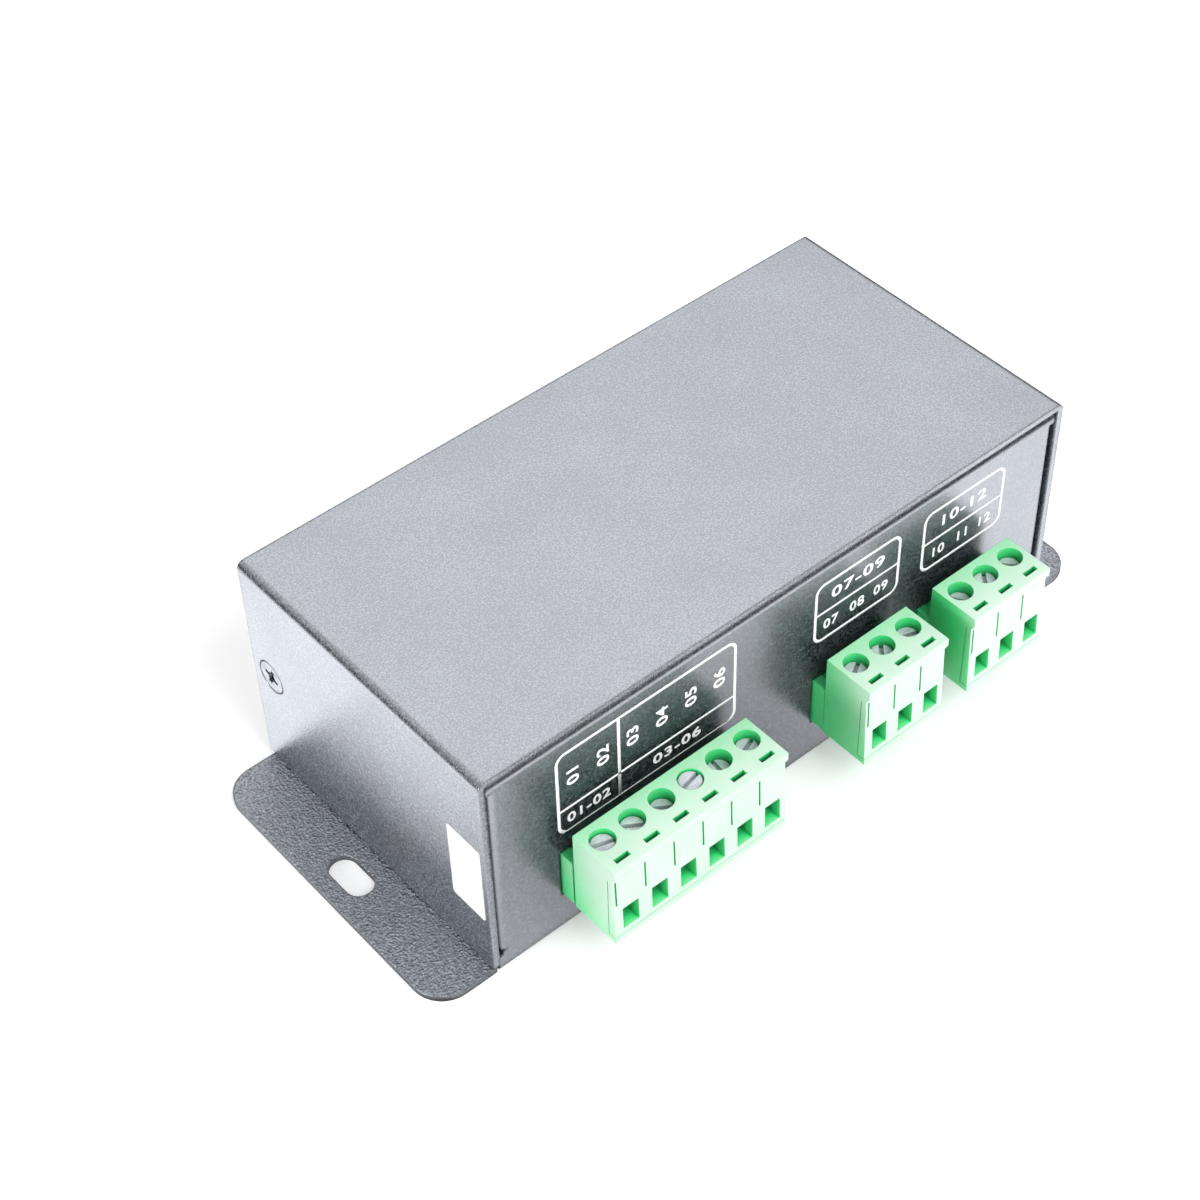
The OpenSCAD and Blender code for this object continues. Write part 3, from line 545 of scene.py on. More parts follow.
@dataclass(frozen=True)
class MouldedPlastic:
    """Injection-moulded plastic: even colour, a fine spark-eroded grain and small radii on every edge."""

    name: str
    colour: str
    shade: str
    roughness: float = 0.35
    gloss_spread: float = 0.05
    ior: float = 1.53
    specular: float = 0.5
    grain_mm: float = 0.3
    relief_mm: float = 0.004
    edge_mm: float = 0.1
    depth_mm: float = 0.0
    depth_share: float = 0.2
    depth_by_colour: tuple[float, float, float] = (0.4, 1.0, 0.5)
    drift_range: Pair = (0.3, 0.7)
    # painted shade: the colour that hollows and sides hemmed in by other parts take, by ambient occlusion
    deep_tint_and_painted_shade: str = ""
    painted_shade_range: Pair = (0.68, 0.48)
    # painted shade, darker still, in narrow holes
    painted_deepest_shade: str = ""
    painted_deepest_shade_range: Pair = (0.3, 0.05)
    # painted darker reflection: the colour that other surfaces mirror in place of the plastic's own
    mirrored: str = ""
    hollow_mm: float = 20.0

    def build(self) -> Material:
        """Builds the material: grain as bump, slow colour drift from the flow of the melt, soft edges.

        A plastic that lets light through looks pale where the light leaves it again, and shows its full colour in
        Where a shade colour is given, the colour goes to it by how much stands round a point within hollow_mm:
        painted shade in hollows, creases and sides that other parts hem in, and a darker painted shade in narrow
        holes. Where mirrored is given, other surfaces mirror that darker colour in place of the plastic's own: a
        painted darker reflection, since the paper round the part is far brighter than the plastic.
        """
        made, tree, place = new_material(self.name)
        grain = noise(tree, place, 1 / (self.grain_mm * MM), 2.0, Roughness=0.6)
        normal = bumped(tree, grain, self.relief_mm, Normal=rounded_edges(tree, self.edge_mm))
        drift = ramp(tree, noise(tree, place, DRIFT_SCALE, 1.0), *self.drift_range)
        colour = blend_colours(tree, drift, self.colour, self.shade)
        # painted shade: ambient occlusion within hollow_mm turns the colour to the shade colours
        if self.deep_tint_and_painted_shade:
            hollow = {"samples": 6, "Distance": self.hollow_mm * MM}
            around = add_node(tree, "ShaderNodeAmbientOcclusion", hollow).outputs["AO"]
            colour = blend_colours(tree, ramp(tree, around, *self.painted_shade_range), colour, self.deep_tint_and_painted_shade)
            colour = blend_colours(tree, ramp(tree, around, *self.painted_deepest_shade_range), colour, self.painted_deepest_shade)
        smooth, rough = self.roughness - self.gloss_spread, self.roughness + self.gloss_spread
        values = {
            "IOR": self.ior,
            "Specular IOR Level": self.specular,
            "Base Color": as_mirrored(tree, colour, self.mirrored),
            "Roughness": ramp(tree, grain, 0.0, 1.0, smooth, rough),
            "Normal": normal,
        }
        if self.depth_mm:
            values["Subsurface Weight"] = self.depth_share
            values["Subsurface Radius"] = self.depth_by_colour
            values["Subsurface Scale"] = self.depth_mm * MM
        return finish_material(made, values)


@dataclass(frozen=True)
class PlatedMetal:
    """A bright plated or drawn metal: clear reflections broken by fine tool marks along one direction."""

    name: str
    colour: str
    shade: str
    roughness: float = 0.28
    mark_mm: float = 0.12
    mark_length_mm: float = 2.0
    gloss_range: Pair = (-0.08, 0.1)
    stain_range: Pair = (0.35, 0.65)
    relief_mm: float = 0.002
    edge_mm: float = 0.08
    metallic: float = 1.0
    # painted darker reflection: the colour that other surfaces mirror in place of the metal's own
    mirrored: str = ""
    head_mm: Pair = (0.0, 0.0)
    gap_shade_radius_mm: float = 0.0
    gap_shade_edge_mm: float = 0.1
    # painted shade of the narrow gap round a sunk head
    ring: str = "#08090a"

    def build(self) -> Material:
        """Builds the material: noise stretched along X as tool marks, and stains a millimetre or two wide.

        A metallic share under one is the matt part of a finely turned face, which the marks are too coarse to give.
        Where a shade radius is given, the metal is painted dark beyond that distance from the screws' axes, which
        lie along X at head_mm and its mirror image. There the head dips into its sunk hole: the dark is mostly
        painted shade of the narrow gap round the head, partly coat and dirt that sit round it.
        """
        made, tree, place = new_material(self.name)
        fine = 1 / (self.mark_mm * MM)
        stretch = {"Scale": (1 / (self.mark_length_mm * MM), fine, fine), "Vector": place}
        stretched = add_node(tree, "ShaderNodeMapping", stretch).outputs["Vector"]
        marks = noise(tree, stretched, 1.0, 3.0)
        normal = bumped(tree, marks, self.relief_mm, Normal=rounded_edges(tree, self.edge_mm))
        stain = ramp(tree, noise(tree, place, STAIN_SCALE, 2.0), *self.stain_range)
        colour = blend_colours(tree, stain, self.colour, self.shade)
        # painted shade: dark beyond the head's rim, where the gap round it lies
        if self.gap_shade_radius_mm:
            across, height = self.head_mm
            folded = combine_vectors(tree, "ABSOLUTE", place)
            flat = combine_vectors(tree, "MULTIPLY", folded, (0.0, 1.0, 1.0))
            away = combine_vectors(tree, "DISTANCE", flat, (0.0, across * MM, height * MM))
            rim = ramp(tree, away, self.gap_shade_radius_mm * MM, (self.gap_shade_radius_mm + self.gap_shade_edge_mm) * MM)
            colour = blend_colours(tree, rim, colour, self.ring)
        smooth, rough = (self.roughness + share for share in self.gloss_range)
        values = {
            "Metallic": self.metallic,
            "Base Color": as_mirrored(tree, colour, self.mirrored),
            "Roughness": ramp(tree, marks, 0.0, 1.0, smooth, rough),
            "Normal": normal,
        }
        return finish_material(made, values)


@dataclass(frozen=True)
class MaskedLaminate:
    """Glass-epoxy board under green solder mask: glossy, with darker fields where copper lies under it."""

    name: str = "masked_laminate"
    mask: str = "#1d6a3a"
    over_copper: str = "#2f8a4d"
    track_gap_mm: float = 2.54
    copper_mm: float = 0.02
    copper_range: Pair = (0.38, 0.42)
    edge_mm: float = 0.05
    roughness: float = 0.22

    def build(self) -> Material:
        """Builds the material: square cells a grid step wide, some of them over copper."""
        made, tree, place = new_material(self.name)
        grid = {"distance": "CHEBYCHEV", "Scale": 1 / (self.track_gap_mm * MM), "Vector": place}
        fields = add_node(tree, "ShaderNodeTexVoronoi", grid).outputs["Distance"]
        copper = ramp(tree, fields, *self.copper_range)
        colour = blend_colours(tree, copper, self.over_copper, self.mask)
        normal = bumped(tree, copper, self.copper_mm, Strength=0.6, Normal=rounded_edges(tree, self.edge_mm))
        values = {"Roughness": self.roughness, "IOR": 1.55, "Base Color": colour, "Normal": normal}
        return finish_material(made, values)


@dataclass(frozen=True)
class TintedLens:
    """Clear epoxy with a tint, as a lamp's lens: part of the light goes through, and the tint isn't quite even."""

    name: str
    colour: str
    # the deeper tint that slow noise mixes into the lens
    deep_tint_and_painted_shade: str
    clear_share: float = 0.35

    def build(self) -> Material:
        """Builds the material: a tint that deepens with slow noise, over a part-clear shader."""
        made, tree, place = new_material(self.name)
        colour = blend_colours(tree, noise(tree, place, HAZE_SCALE, 1.0), self.colour, self.deep_tint_and_painted_shade)
        values = {"Roughness": 0.12, "IOR": 1.54, "Transmission Weight": self.clear_share, "Base Color": colour}
        return finish_material(made, values)


@dataclass(frozen=True)
class ScreenInk:
    """Screen-printed white ink: opaque, slightly rough, and thinner in spots."""

    name: str = "screen_ink_white"
    colour: str = "#ffffff"
    thin: str = "#f1f2f3"
    mesh_mm: float = 0.25
    thin_range: Pair = (0.55, 0.8)
    relief_mm: float = 0.01

    def build(self) -> Material:
        """Builds the material: noise at the printing mesh's scale thins the ink in spots."""
        made, tree, place = new_material(self.name)
        mesh = noise(tree, place, 1 / (self.mesh_mm * MM), 2.0)
        colour = blend_colours(tree, ramp(tree, mesh, *self.thin_range), self.colour, self.thin)
        normal = bumped(tree, mesh, self.relief_mm, Strength=0.5)
        values = {"Roughness": 0.5, "IOR": 1.5, "Base Color": colour, "Normal": normal}
        return finish_material(made, values)


@dataclass(frozen=True)
class LabelPaper:
    """Coated white label paper: smooth and faintly glossy, with the fibres just showing."""

    name: str = "label_paper"
    colour: str = "#f6f6f5"
    shade: str = "#eceded"
    fibre_mm: float = 0.4
    fibre_range: Pair = (0.4, 0.7)
    relief_mm: float = 0.01

    def build(self) -> Material:
        """Builds the material: long thin noise cells as fibres."""
        made, tree, place = new_material(self.name)
        along = add_node(tree, "ShaderNodeMapping", {"Scale": (1.0, 0.3, 1.0), "Vector": place}).outputs["Vector"]
        fibres = noise(tree, along, 1 / (self.fibre_mm * MM), 4.0)
        colour = blend_colours(tree, ramp(tree, fibres, *self.fibre_range), self.colour, self.shade)
        normal = bumped(tree, fibres, self.relief_mm, Strength=0.3)
        values = {"Roughness": 0.4, "IOR": 1.5, "Base Color": colour, "Normal": normal}
        return finish_material(made, values)


@dataclass(frozen=True)
class StudioPaper:
    """White seamless paper, which camera rays see lit to white, and mirrored rays see as bright as its light."""

    name: str = "studio_paper"
    colour: str = "#f2f2f2"
    camera_glow: float = 0.28
    glow_mm: Pair = (180.0, 500.0)
    open_level: float = 1.86
    shaded_level: float = 0.52
    rear_share: float = 1.25
    rear_mm: Pair = (-20.0, 45.0)
    lit_mm: Pair = (86.0, 176.0)
    far_share: float = 0.05
    under_share: float = 0.15
    footprint_mm: Pair = (62.5, 25.5)
    rim_range: Pair = (0.99, 1.06)
    shade_middles_mm: tuple[Pair, Pair] = ((-15.0, -34.0), (22.0, 37.0))
    shade_stretch: float = 1.5
    shade_mm: Pair = (10.0, 52.0)

    def mirrored_level(self, tree: Tree, place: Socket, from_part: Socket) -> Socket:
        """Works out how bright mirrored rays see the paper.

        It is dimmer in two ovals, one in front of the terminals and one behind the case, where the case and the
        plugs keep light off. It is dark under the case, brighter to the rear, nearer the lamps, and fades out where
        the paper is no longer lit.

        Args:
            tree: The material's nodes.
            place: Object coordinates.
            from_part: Distance from the origin.

        Returns:
            The level's socket.
        """
        aways = []
        for middle_x, middle_y in self.shade_middles_mm:
            oval = {
                "vector_type": "TEXTURE",
                "Location": (middle_x * MM, middle_y * MM, 0.0),
                "Scale": (self.shade_stretch, 1.0, 1.0),
                "Vector": place,
            }
            inside = add_node(tree, "ShaderNodeMapping", oval).outputs["Vector"]
            aways.append(combine_vectors(tree, "LENGTH", inside))
        away = combine(tree, "MINIMUM", *aways)
        lit = ramp(tree, away, *metres(self.shade_mm), self.shaded_level, self.open_level)
        half_x, half_y = self.footprint_mm
        across = combine_vectors(tree, "MULTIPLY", place, (1 / (half_x * MM), 1 / (half_y * MM), 0.0))
        sides = split_axes(tree, combine_vectors(tree, "ABSOLUTE", across))
        reach = combine(tree, "MAXIMUM", sides["X"], sides["Y"])
        under = ramp(tree, reach, *self.rim_range, self.under_share)
        rearward = ramp(tree, split_axes(tree, place)["Y"], *metres(self.rear_mm), 1.0, self.rear_share)
        faded = ramp(tree, from_part, *metres(self.lit_mm), self.rear_share, self.far_share)
        shared = combine(tree, "MINIMUM", faded, rearward)
        return combine(tree, "MULTIPLY", combine(tree, "MULTIPLY", lit, under), shared)

    def build(self) -> Material:
        """Builds the material: diffuse paper with a glow for camera rays, and an emission for mirrored rays.

        The glow rises to full white far from the part, so that no horizon shows where the paper ends.
        """
        made, tree, place = new_material(self.name)
        camera, mirrored = ray_kinds(tree)
        from_part = combine_vectors(tree, "LENGTH", place)
        glow = combine(tree, "MULTIPLY", ramp(tree, from_part, *metres(self.glow_mm), self.camera_glow), camera)
        paper = add_node(tree, "ShaderNodeBsdfDiffuse", {"Color": linear(self.colour)}).outputs[0]
        seen = add_node(tree, "ShaderNodeEmission", {"Strength": glow}).outputs[0]
        direct = add_node(tree, "ShaderNodeAddShader", {0: paper, 1: seen}).outputs[0]
        level = self.mirrored_level(tree, place, from_part)
        image = add_node(tree, "ShaderNodeEmission", {"Strength": level}).outputs[0]
        total = add_node(tree, "ShaderNodeMixShader", {0: mirrored, 1: direct, 2: image})
        add_node(tree, "ShaderNodeOutputMaterial", {"Surface": total.outputs[0]})
        return made


# ---- sub-assemblies ----


def dress_nodes(nodes: Nodes, finish: Finish, *names: str) -> None:
    """Builds a finish and gives it to CAD nodes, in place of the materials that they came with.

    Args:
        nodes: The CAD nodes by name.
        finish: What they are dressed in.
        names: Which nodes.
    """
    made = finish.build()
    for name in names:
        slots = nodes[name].data.materials
        slots.clear()
        slots.append(made)
        LOG.info("%s: %s", name, made.name)


@dataclass
class Case:
    """The folded steel tray and its cover, their coat, and the screws that hold the two together."""

    tray: PowderCoat = PowderCoat(
        "powder_coat_tray",
        "#07090b",
        "#565c61",
        wrinkle_mm=0.4,
        relief_mm=0.16,
        grain_relief_mm=0.006,
        upright_share=0.02,
        roughness=0.29,
        rolled_mm=(37.2, 38.8),
        # painted glint on the ears' wrinkle
        painted_crest_glint="#7c848e",
    )
    cover: PowderCoat = PowderCoat(
        "powder_coat_cover", "#07090b", "#747a80", wrinkle_mm=0.24, relief_mm=0.02, roughness=0.26
    )
    screws: PlatedMetal = PlatedMetal("zinc_plated_steel", "#b4b8be", "#9a9fa6", roughness=0.42)
    cover_screws: PlatedMetal = PlatedMetal(
        # painted shade in the gap round each sunk head
        "zinc_plated_steel_sunk", "#a9adb3", "#8f949b", roughness=0.42, head_mm=(21.9, 20.5), gap_shade_radius_mm=2.45
    )

    def dress(self, nodes: Nodes) -> None:
        """Gives the case's CAD nodes their finishes."""
        dress_nodes(nodes, self.tray, "base_tray")
        dress_nodes(nodes, self.cover, "cover")
        dress_nodes(nodes, self.cover_screws, "cover_screws")
        dress_nodes(nodes, self.screws, "board_screws", "board_standoffs")


@dataclass
class Terminals:
    """The headers, the plugs that go into them, and each way's clamp, screw and contact."""

    ways: int = 12
    groups: tuple[str, ...] = ("power", "data_in", "data_out")
    housing: MouldedPlastic = MouldedPlastic(
        "moulded_polyamide_green",
        "#d8f2df",
        "#d0edd8",
        roughness=0.36,
        ior=1.6,
        specular=0.7,
        grain_mm=0.25,
        relief_mm=0.012,
        depth_mm=0.8,
        # painted shade in hollows and hemmed-in sides, darker in narrow holes
        deep_tint_and_painted_shade="#3aee88",
        painted_deepest_shade="#2a9a5c",
        # painted darker reflection of the plugs in the case's coat and the screws
        mirrored="#3f6a54",
    )
    screws: PlatedMetal = PlatedMetal(
        # painted darker reflection of the screw heads in the coat
        "zinc_plated_steel_turned", "#f4f7fa", "#dde4eb", roughness=0.28, metallic=0.4, mirrored="#8f9499"
    )
    cages: PlatedMetal = PlatedMetal("nickel_plated_steel", "#b9b5aa", "#a29d90", roughness=0.3)
    contacts: PlatedMetal = PlatedMetal("tinned_brass", "#c9c7bd", "#b5b2a4", roughness=0.26)

    def dress(self, nodes: Nodes) -> None:
        """Gives the terminals' CAD nodes their finishes."""
        green = [f"{group}_{part}" for part in ("header", "plug_housing") for group in self.groups]
        dress_nodes(nodes, self.housing, *green)
        dress_nodes(nodes, self.screws, *(f"clamp_screw_{i + 1}" for i in range(self.ways)))
        dress_nodes(nodes, self.cages, *(f"clamp_cage_{i + 1}" for i in range(self.ways)))
        dress_nodes(nodes, self.contacts, "contact_pins", *(f"{group}_plug_contacts" for group in self.groups))


@dataclass
class Electronics:
    """The circuit board, what stands on it, the address switch and the status lamp."""

    board: MaskedLaminate = MaskedLaminate()
    epoxy: MouldedPlastic = MouldedPlastic("moulded_epoxy_black", "#1c1d20", "#242529", roughness=0.5)
    ferrite: MouldedPlastic = MouldedPlastic("pressed_ferrite", "#2c2d30", "#37383b", roughness=0.6)
    cans: PlatedMetal = PlatedMetal("drawn_aluminium", "#cfd2d5", "#bcc0c4", roughness=0.3)
    switch_shell: MouldedPlastic = MouldedPlastic("moulded_plastic_red", "#b3232a", "#a81f26")
    levers_finish: MouldedPlastic = MouldedPlastic("moulded_plastic_white", "#ecebe6", "#e4e3dd")
    lens: TintedLens = TintedLens("lamp_lens_red", "#e8402f", "#b51f17")

    def dress(self, nodes: Nodes) -> None:
        """Gives the electronics' CAD nodes their finishes."""
        black = ("power_transistors", "microcontroller", "line_transceivers", "voltage_regulator")
        dress_nodes(nodes, self.board, "circuit_board")
        dress_nodes(nodes, self.epoxy, *black)
        dress_nodes(nodes, self.ferrite, "choke")
        dress_nodes(nodes, self.cans, "filter_capacitors", "clock_crystal")
        dress_nodes(nodes, self.switch_shell, "switch_body")
        dress_nodes(nodes, self.levers_finish, *(f"switch_lever_{i + 1}" for i in range(LEVERS)))
        dress_nodes(nodes, self.lens, "status_lamp")


class Turn(Enum):
    """How a printed number stands."""

    UPRIGHT = 0.0
    READS_UPWARDS = math.pi / 2


@dataclass(frozen=True)
class Mark:
    """A printed number: its digits, where its middle is on the wall, its height and how it stands."""

    digits: str
    right_mm: float
    up_mm: float
    height_mm: float
    turn: Turn = Turn.UPRIGHT
    stretch: float = 1.0


@dataclass(frozen=True)
class Rule:
    """A printed straight line between two points of the wall."""

    start_mm: Pair
    end_mm: Pair
    width_mm: float


@dataclass
class PrintedPanel:
    """A rounded frame printed round the numbers of one terminal, with its ruled rows."""

    name: str
    sides_mm: Pair
    levels_mm: Pair
    rules: list[Rule]
    marks: list[Mark]
    corner_mm: float = 1.5
    line_mm: float = 0.5
    low_line_mm: float = 0.5
    low_reach_mm: float = 0.1
    rule_ink_share: float = 0.9

    def lines(self) -> MeshData:
        """Works out the frame and the rules on paper.

        Formula: the frame is a rounded outline round the panel's middle, whose line has the lower line's width
        within low_reach_mm of its foot. The rules lie a little lower than the frame, so that no two tops meet.

        Returns:
            Points as (right, up, out) in metres, and quads.
        """
        low_corner, high_corner = np.array([self.sides_mm, self.levels_mm]).T
        frame = rounded_outline(*(high_corner - low_corner), self.corner_mm) + (low_corner + high_corner) / 2
        width = np.where(frame[:, 1] < low_corner[1] + self.low_reach_mm, self.low_line_mm, self.line_mm)
        parts = [ribbon(frame * MM, width * MM, INK_MM * MM, closed=True)]
        for rule in self.rules:
            path = np.array([rule.start_mm, rule.end_mm]) * MM
            parts.append(ribbon(path, rule.width_mm * MM, INK_MM * MM * self.rule_ink_share, closed=False))
        return joined(parts)

    def build(self, face: Face, ink: Material) -> list[Object]:
        """Builds the panel's print.

        Args:
            face: The wall's outer face.
            ink: The ink's material.

        Returns:
            The lines and the numbers.
        """
        points, faces = self.lines()
        drawn = make_object(f"{self.name}_lines", face.points(points), faces, ink)
        close_and_turn_out(drawn)
        return [drawn, print_numbers(f"{self.name}_numbers", self.marks, face, ink)]


def drawn_number(mark: Mark, face: Face) -> bpy.types.Mesh:
    """Draws one number on a face of the case.

    Formula: the outline is the built-in face, bold by a small offset and as thick as the ink. Its points are
    centred, stretched, turned and moved on paper, and then put on the face.

    Args:
        mark: What is printed.
        face: The face that it is printed on.

    Returns:
        The number's mesh.
    """
    text = bpy.data.curves.new("number_text", "FONT")
    text.body = mark.digits
    text.size = 1.0
    text.offset = BOLD_SHARE
    text.extrude = 0.5
    text.space_character = LETTER_SPACING
    carrier = bpy.data.objects.new("number_text", text)
    bpy.context.scene.collection.objects.link(carrier)
    bpy.context.view_layer.update()
    made = bpy.data.meshes.new_from_object(carrier.evaluated_get(bpy.context.evaluated_depsgraph_get()))
    points = np.zeros(len(made.vertices) * 3, np.float32)
    made.vertices.foreach_get("co", points)
    points = points.reshape(-1, 3).astype(float)
    low, high = points.min(0), points.max(0)
    points -= (low + high) / 2
    scale = mark.height_mm * MM / (high - low)[1]
    flat = points[:, :2] * scale * np.array([mark.stretch, 1.0])
    turn = mark.turn.value
    spun = flat @ np.array([[math.cos(turn), math.sin(turn)], [-math.sin(turn), math.cos(turn)]])
    spun += np.array([mark.right_mm, mark.up_mm]) * MM
    depth = (points[:, 2:] + 0.5) * INK_MM * MM
    placed = face.points(np.hstack([spun, depth]))
    made.vertices.foreach_set("co", placed.astype(np.float32).ravel())
    bpy.data.objects.remove(carrier)
    bpy.data.curves.remove(text)
    return made


def print_numbers(name: str, marks: list[Mark], face: Face, ink: Material) -> Object:
    """Prints numbers on a face of the case, as one mesh.

    Args:
        name: The piece's name.
        marks: What is printed.
        face: The face that it is printed on.
        ink: The ink's material.

    Returns:
        The numbers as one object.
    """
    bm = bmesh.new()
    for mark in marks:
        number = drawn_number(mark, face)
        bm.from_mesh(number)
        bpy.data.meshes.remove(number)
    mesh = bpy.data.meshes.new(name)
    bm.to_mesh(mesh)
    bm.free()
    piece = link_mesh(name, mesh, ink)
    close_and_turn_out(piece)
    return piece


@dataclass
class FrontPrint:
    """The white print over the terminals: one panel for each, with plain way numbers."""

    ink: ScreenInk = ScreenInk()
    power_ways: int = 6
    first_way_mm: float = -38.0
    digits_mm: float = 1.8
    title_mm: float = 2.0
    rule_mm: float = 0.42

    def panels(self) -> list[PrintedPanel]:
        """Lays out the three panels, in millimetres on the front wall.

        Returns:
            The power terminal's panel and those of the two data terminals.
        """
        marks = [
            Mark(f"{i + 1:02d}", self.first_way_mm + i * WAY_PITCH_MM, 30.1, 2.05, Turn.READS_UPWARDS, 1.2)
            for i in range(self.power_ways)
        ]
        for title, middle, stretch in (("01-02", -35.5, 1.2), ("03-06", -20.1, 1.4)):
            marks.append(Mark(title, middle, 22.3, self.digits_mm, stretch=stretch))
        rules = [Rule((-30.2, 20.0), (-30.2, 35.3), 0.5), Rule((-40.6, 24.45), (-9.75, 24.45), self.rule_mm)]
        panels = [PrintedPanel("power_panel", (-40.6, -9.75), (20.0, 35.3), rules, marks, low_line_mm=0.26)]
        data_in = (5.15, 21.1), (23.75, 26.5, 29.1, 34.65), {"07": 8.2, "08": 13.2, "09": 17.8}
        data_out = (26.0, 41.9), (23.65, 26.3, 28.9, 34.6), {"10": 29.3, "11": 34.1, "12": 38.7}
        for name, title, ((left, right), (low, row, rule, high), ways) in (
            ("data_in_panel", Mark("07-09", 13.1, 31.9, self.title_mm, stretch=1.5), data_in),
            ("data_out_panel", Mark("10-12", 34.0, 31.8, self.title_mm, stretch=1.4), data_out),
        ):
            marks = [*(Mark(way, place, row, self.digits_mm, stretch=1.1) for way, place in ways.items()), title]
            rules = [Rule((left, rule), (right, rule), self.rule_mm)]
            panels.append(PrintedPanel(name, (left, right), (low, high), rules, marks))
        return panels

    def build(self, face: Face) -> list[Object]:
        """Builds every panel.

        Args:
            face: The front wall's outer face.

        Returns:
            The lines and the numbers of each panel.
        """
        ink = self.ink.build()
        made = [piece for panel in self.panels() for piece in panel.build(face, ink)]
        for piece in made:
            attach(piece, CASE_BODY)
        return made


@dataclass
class SwitchNumbers:
    """The small numbers printed under the address switch's levers."""

    ink: Material
    height_mm: float = 1.0
    drop_mm: float = 1.4

    def build(self) -> list[Object]:
        """Prints 1 to 10 on the switch's face, each under the middle of its lever."""
        face = Face(Wall.BACK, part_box("switch_body")[1].y)
        marks = []
        for i in range(LEVERS):
            low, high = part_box(f"switch_lever_{i + 1}")
            across = -(low.x + high.x) / 2 / MM
            marks.append(Mark(str(i + 1), across, low.z / MM - self.drop_mm, self.height_mm))
        piece = print_numbers("switch_numbers", marks, face, self.ink)
        return [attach(piece, CASE_BODY)]


@dataclass
class SealSticker:
    """The blank paper seal over the cover's front left screw, pressed a little into the head's rim."""

    paper: LabelPaper = LabelPaper()
    sides_mm: Pair = (-25.1, -18.3)
    levels_mm: Pair = (11.7, 26.1)
    corner_mm: float = 0.5
    corner_steps: int = 6
    thick_mm: float = 0.09
    rise_mm: float = 0.035
    rise_reach_mm: float = 0.45
    dip_mm: float = 0.03
    dip_reach_mm: float = 1.0
    crease_deg: float = 40.0
    rings: int = 24

    def build(self, face: Face, screw: Vector) -> list[Object]:
        """Builds the seal on the left end wall.

        Formula: ring u and place v of the sheet lie at middle + u * outline(v). The sheet stands a thickness out
        of the wall, plus rise * exp(-((d - head radius) / reach) ^ 2) over the rim of the screw's head, less
        dip * exp(-(d / reach) ^ 2) at its recess, where d is the distance from the screw's axis.

        Args:
            face: The end wall's outer face.
            screw: The middle of the screw under the seal.

        Returns:
            The seal.
        """
        (front, rear), (low, high) = self.sides_mm, self.levels_mm
        middle = np.array([-(front + rear), low + high]) / 2
        outline = rounded_outline(rear - front, high - low, self.corner_mm, self.corner_steps)
        sides = len(outline)
        share = np.linspace(0, 1, self.rings + 1)[1:]
        sheet = (middle + share[:, None, None] * outline[None]).reshape(-1, 2)
        flat = np.vstack([sheet, middle[None]])
        away = np.linalg.norm(flat - np.array([-screw.y, screw.z]) / MM, axis=1)
        rise = self.rise_mm * np.exp(-(((away - HEAD_RADIUS_MM) / self.rise_reach_mm) ** 2))
        dip = self.dip_mm * np.exp(-((away / self.dip_reach_mm) ** 2))
        top = np.hstack([flat, (self.thick_mm + (rise - dip))[:, None]])
        foot = np.hstack([outline + middle, np.zeros((sides, 1))])
        points = np.vstack([top, foot, [[*middle, 0.0]]])
        hub, back, edge, back_hub = len(flat) - 1, len(flat), (self.rings - 1) * sides, len(points) - 1
        v = np.arange(sides)
        w = (v + 1) % sides
        skirt = np.stack([edge + v, back + v, back + w, edge + w], axis=1)
        quads = np.vstack([ring_quads(self.rings, sides), skirt])
        faces = in_triangles(quads, fan(hub, v, w), fan(back_hub, back + w, back + v))
        piece = make_object("seal_sticker", face.points(points * MM), faces, self.paper.build())
        close_and_turn_out(piece)
        piece.data.shade_smooth()
        piece.data.set_sharp_from_angle(angle=math.radians(self.crease_deg))
        return [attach(piece, CASE_BODY)]


# ---- studio ----


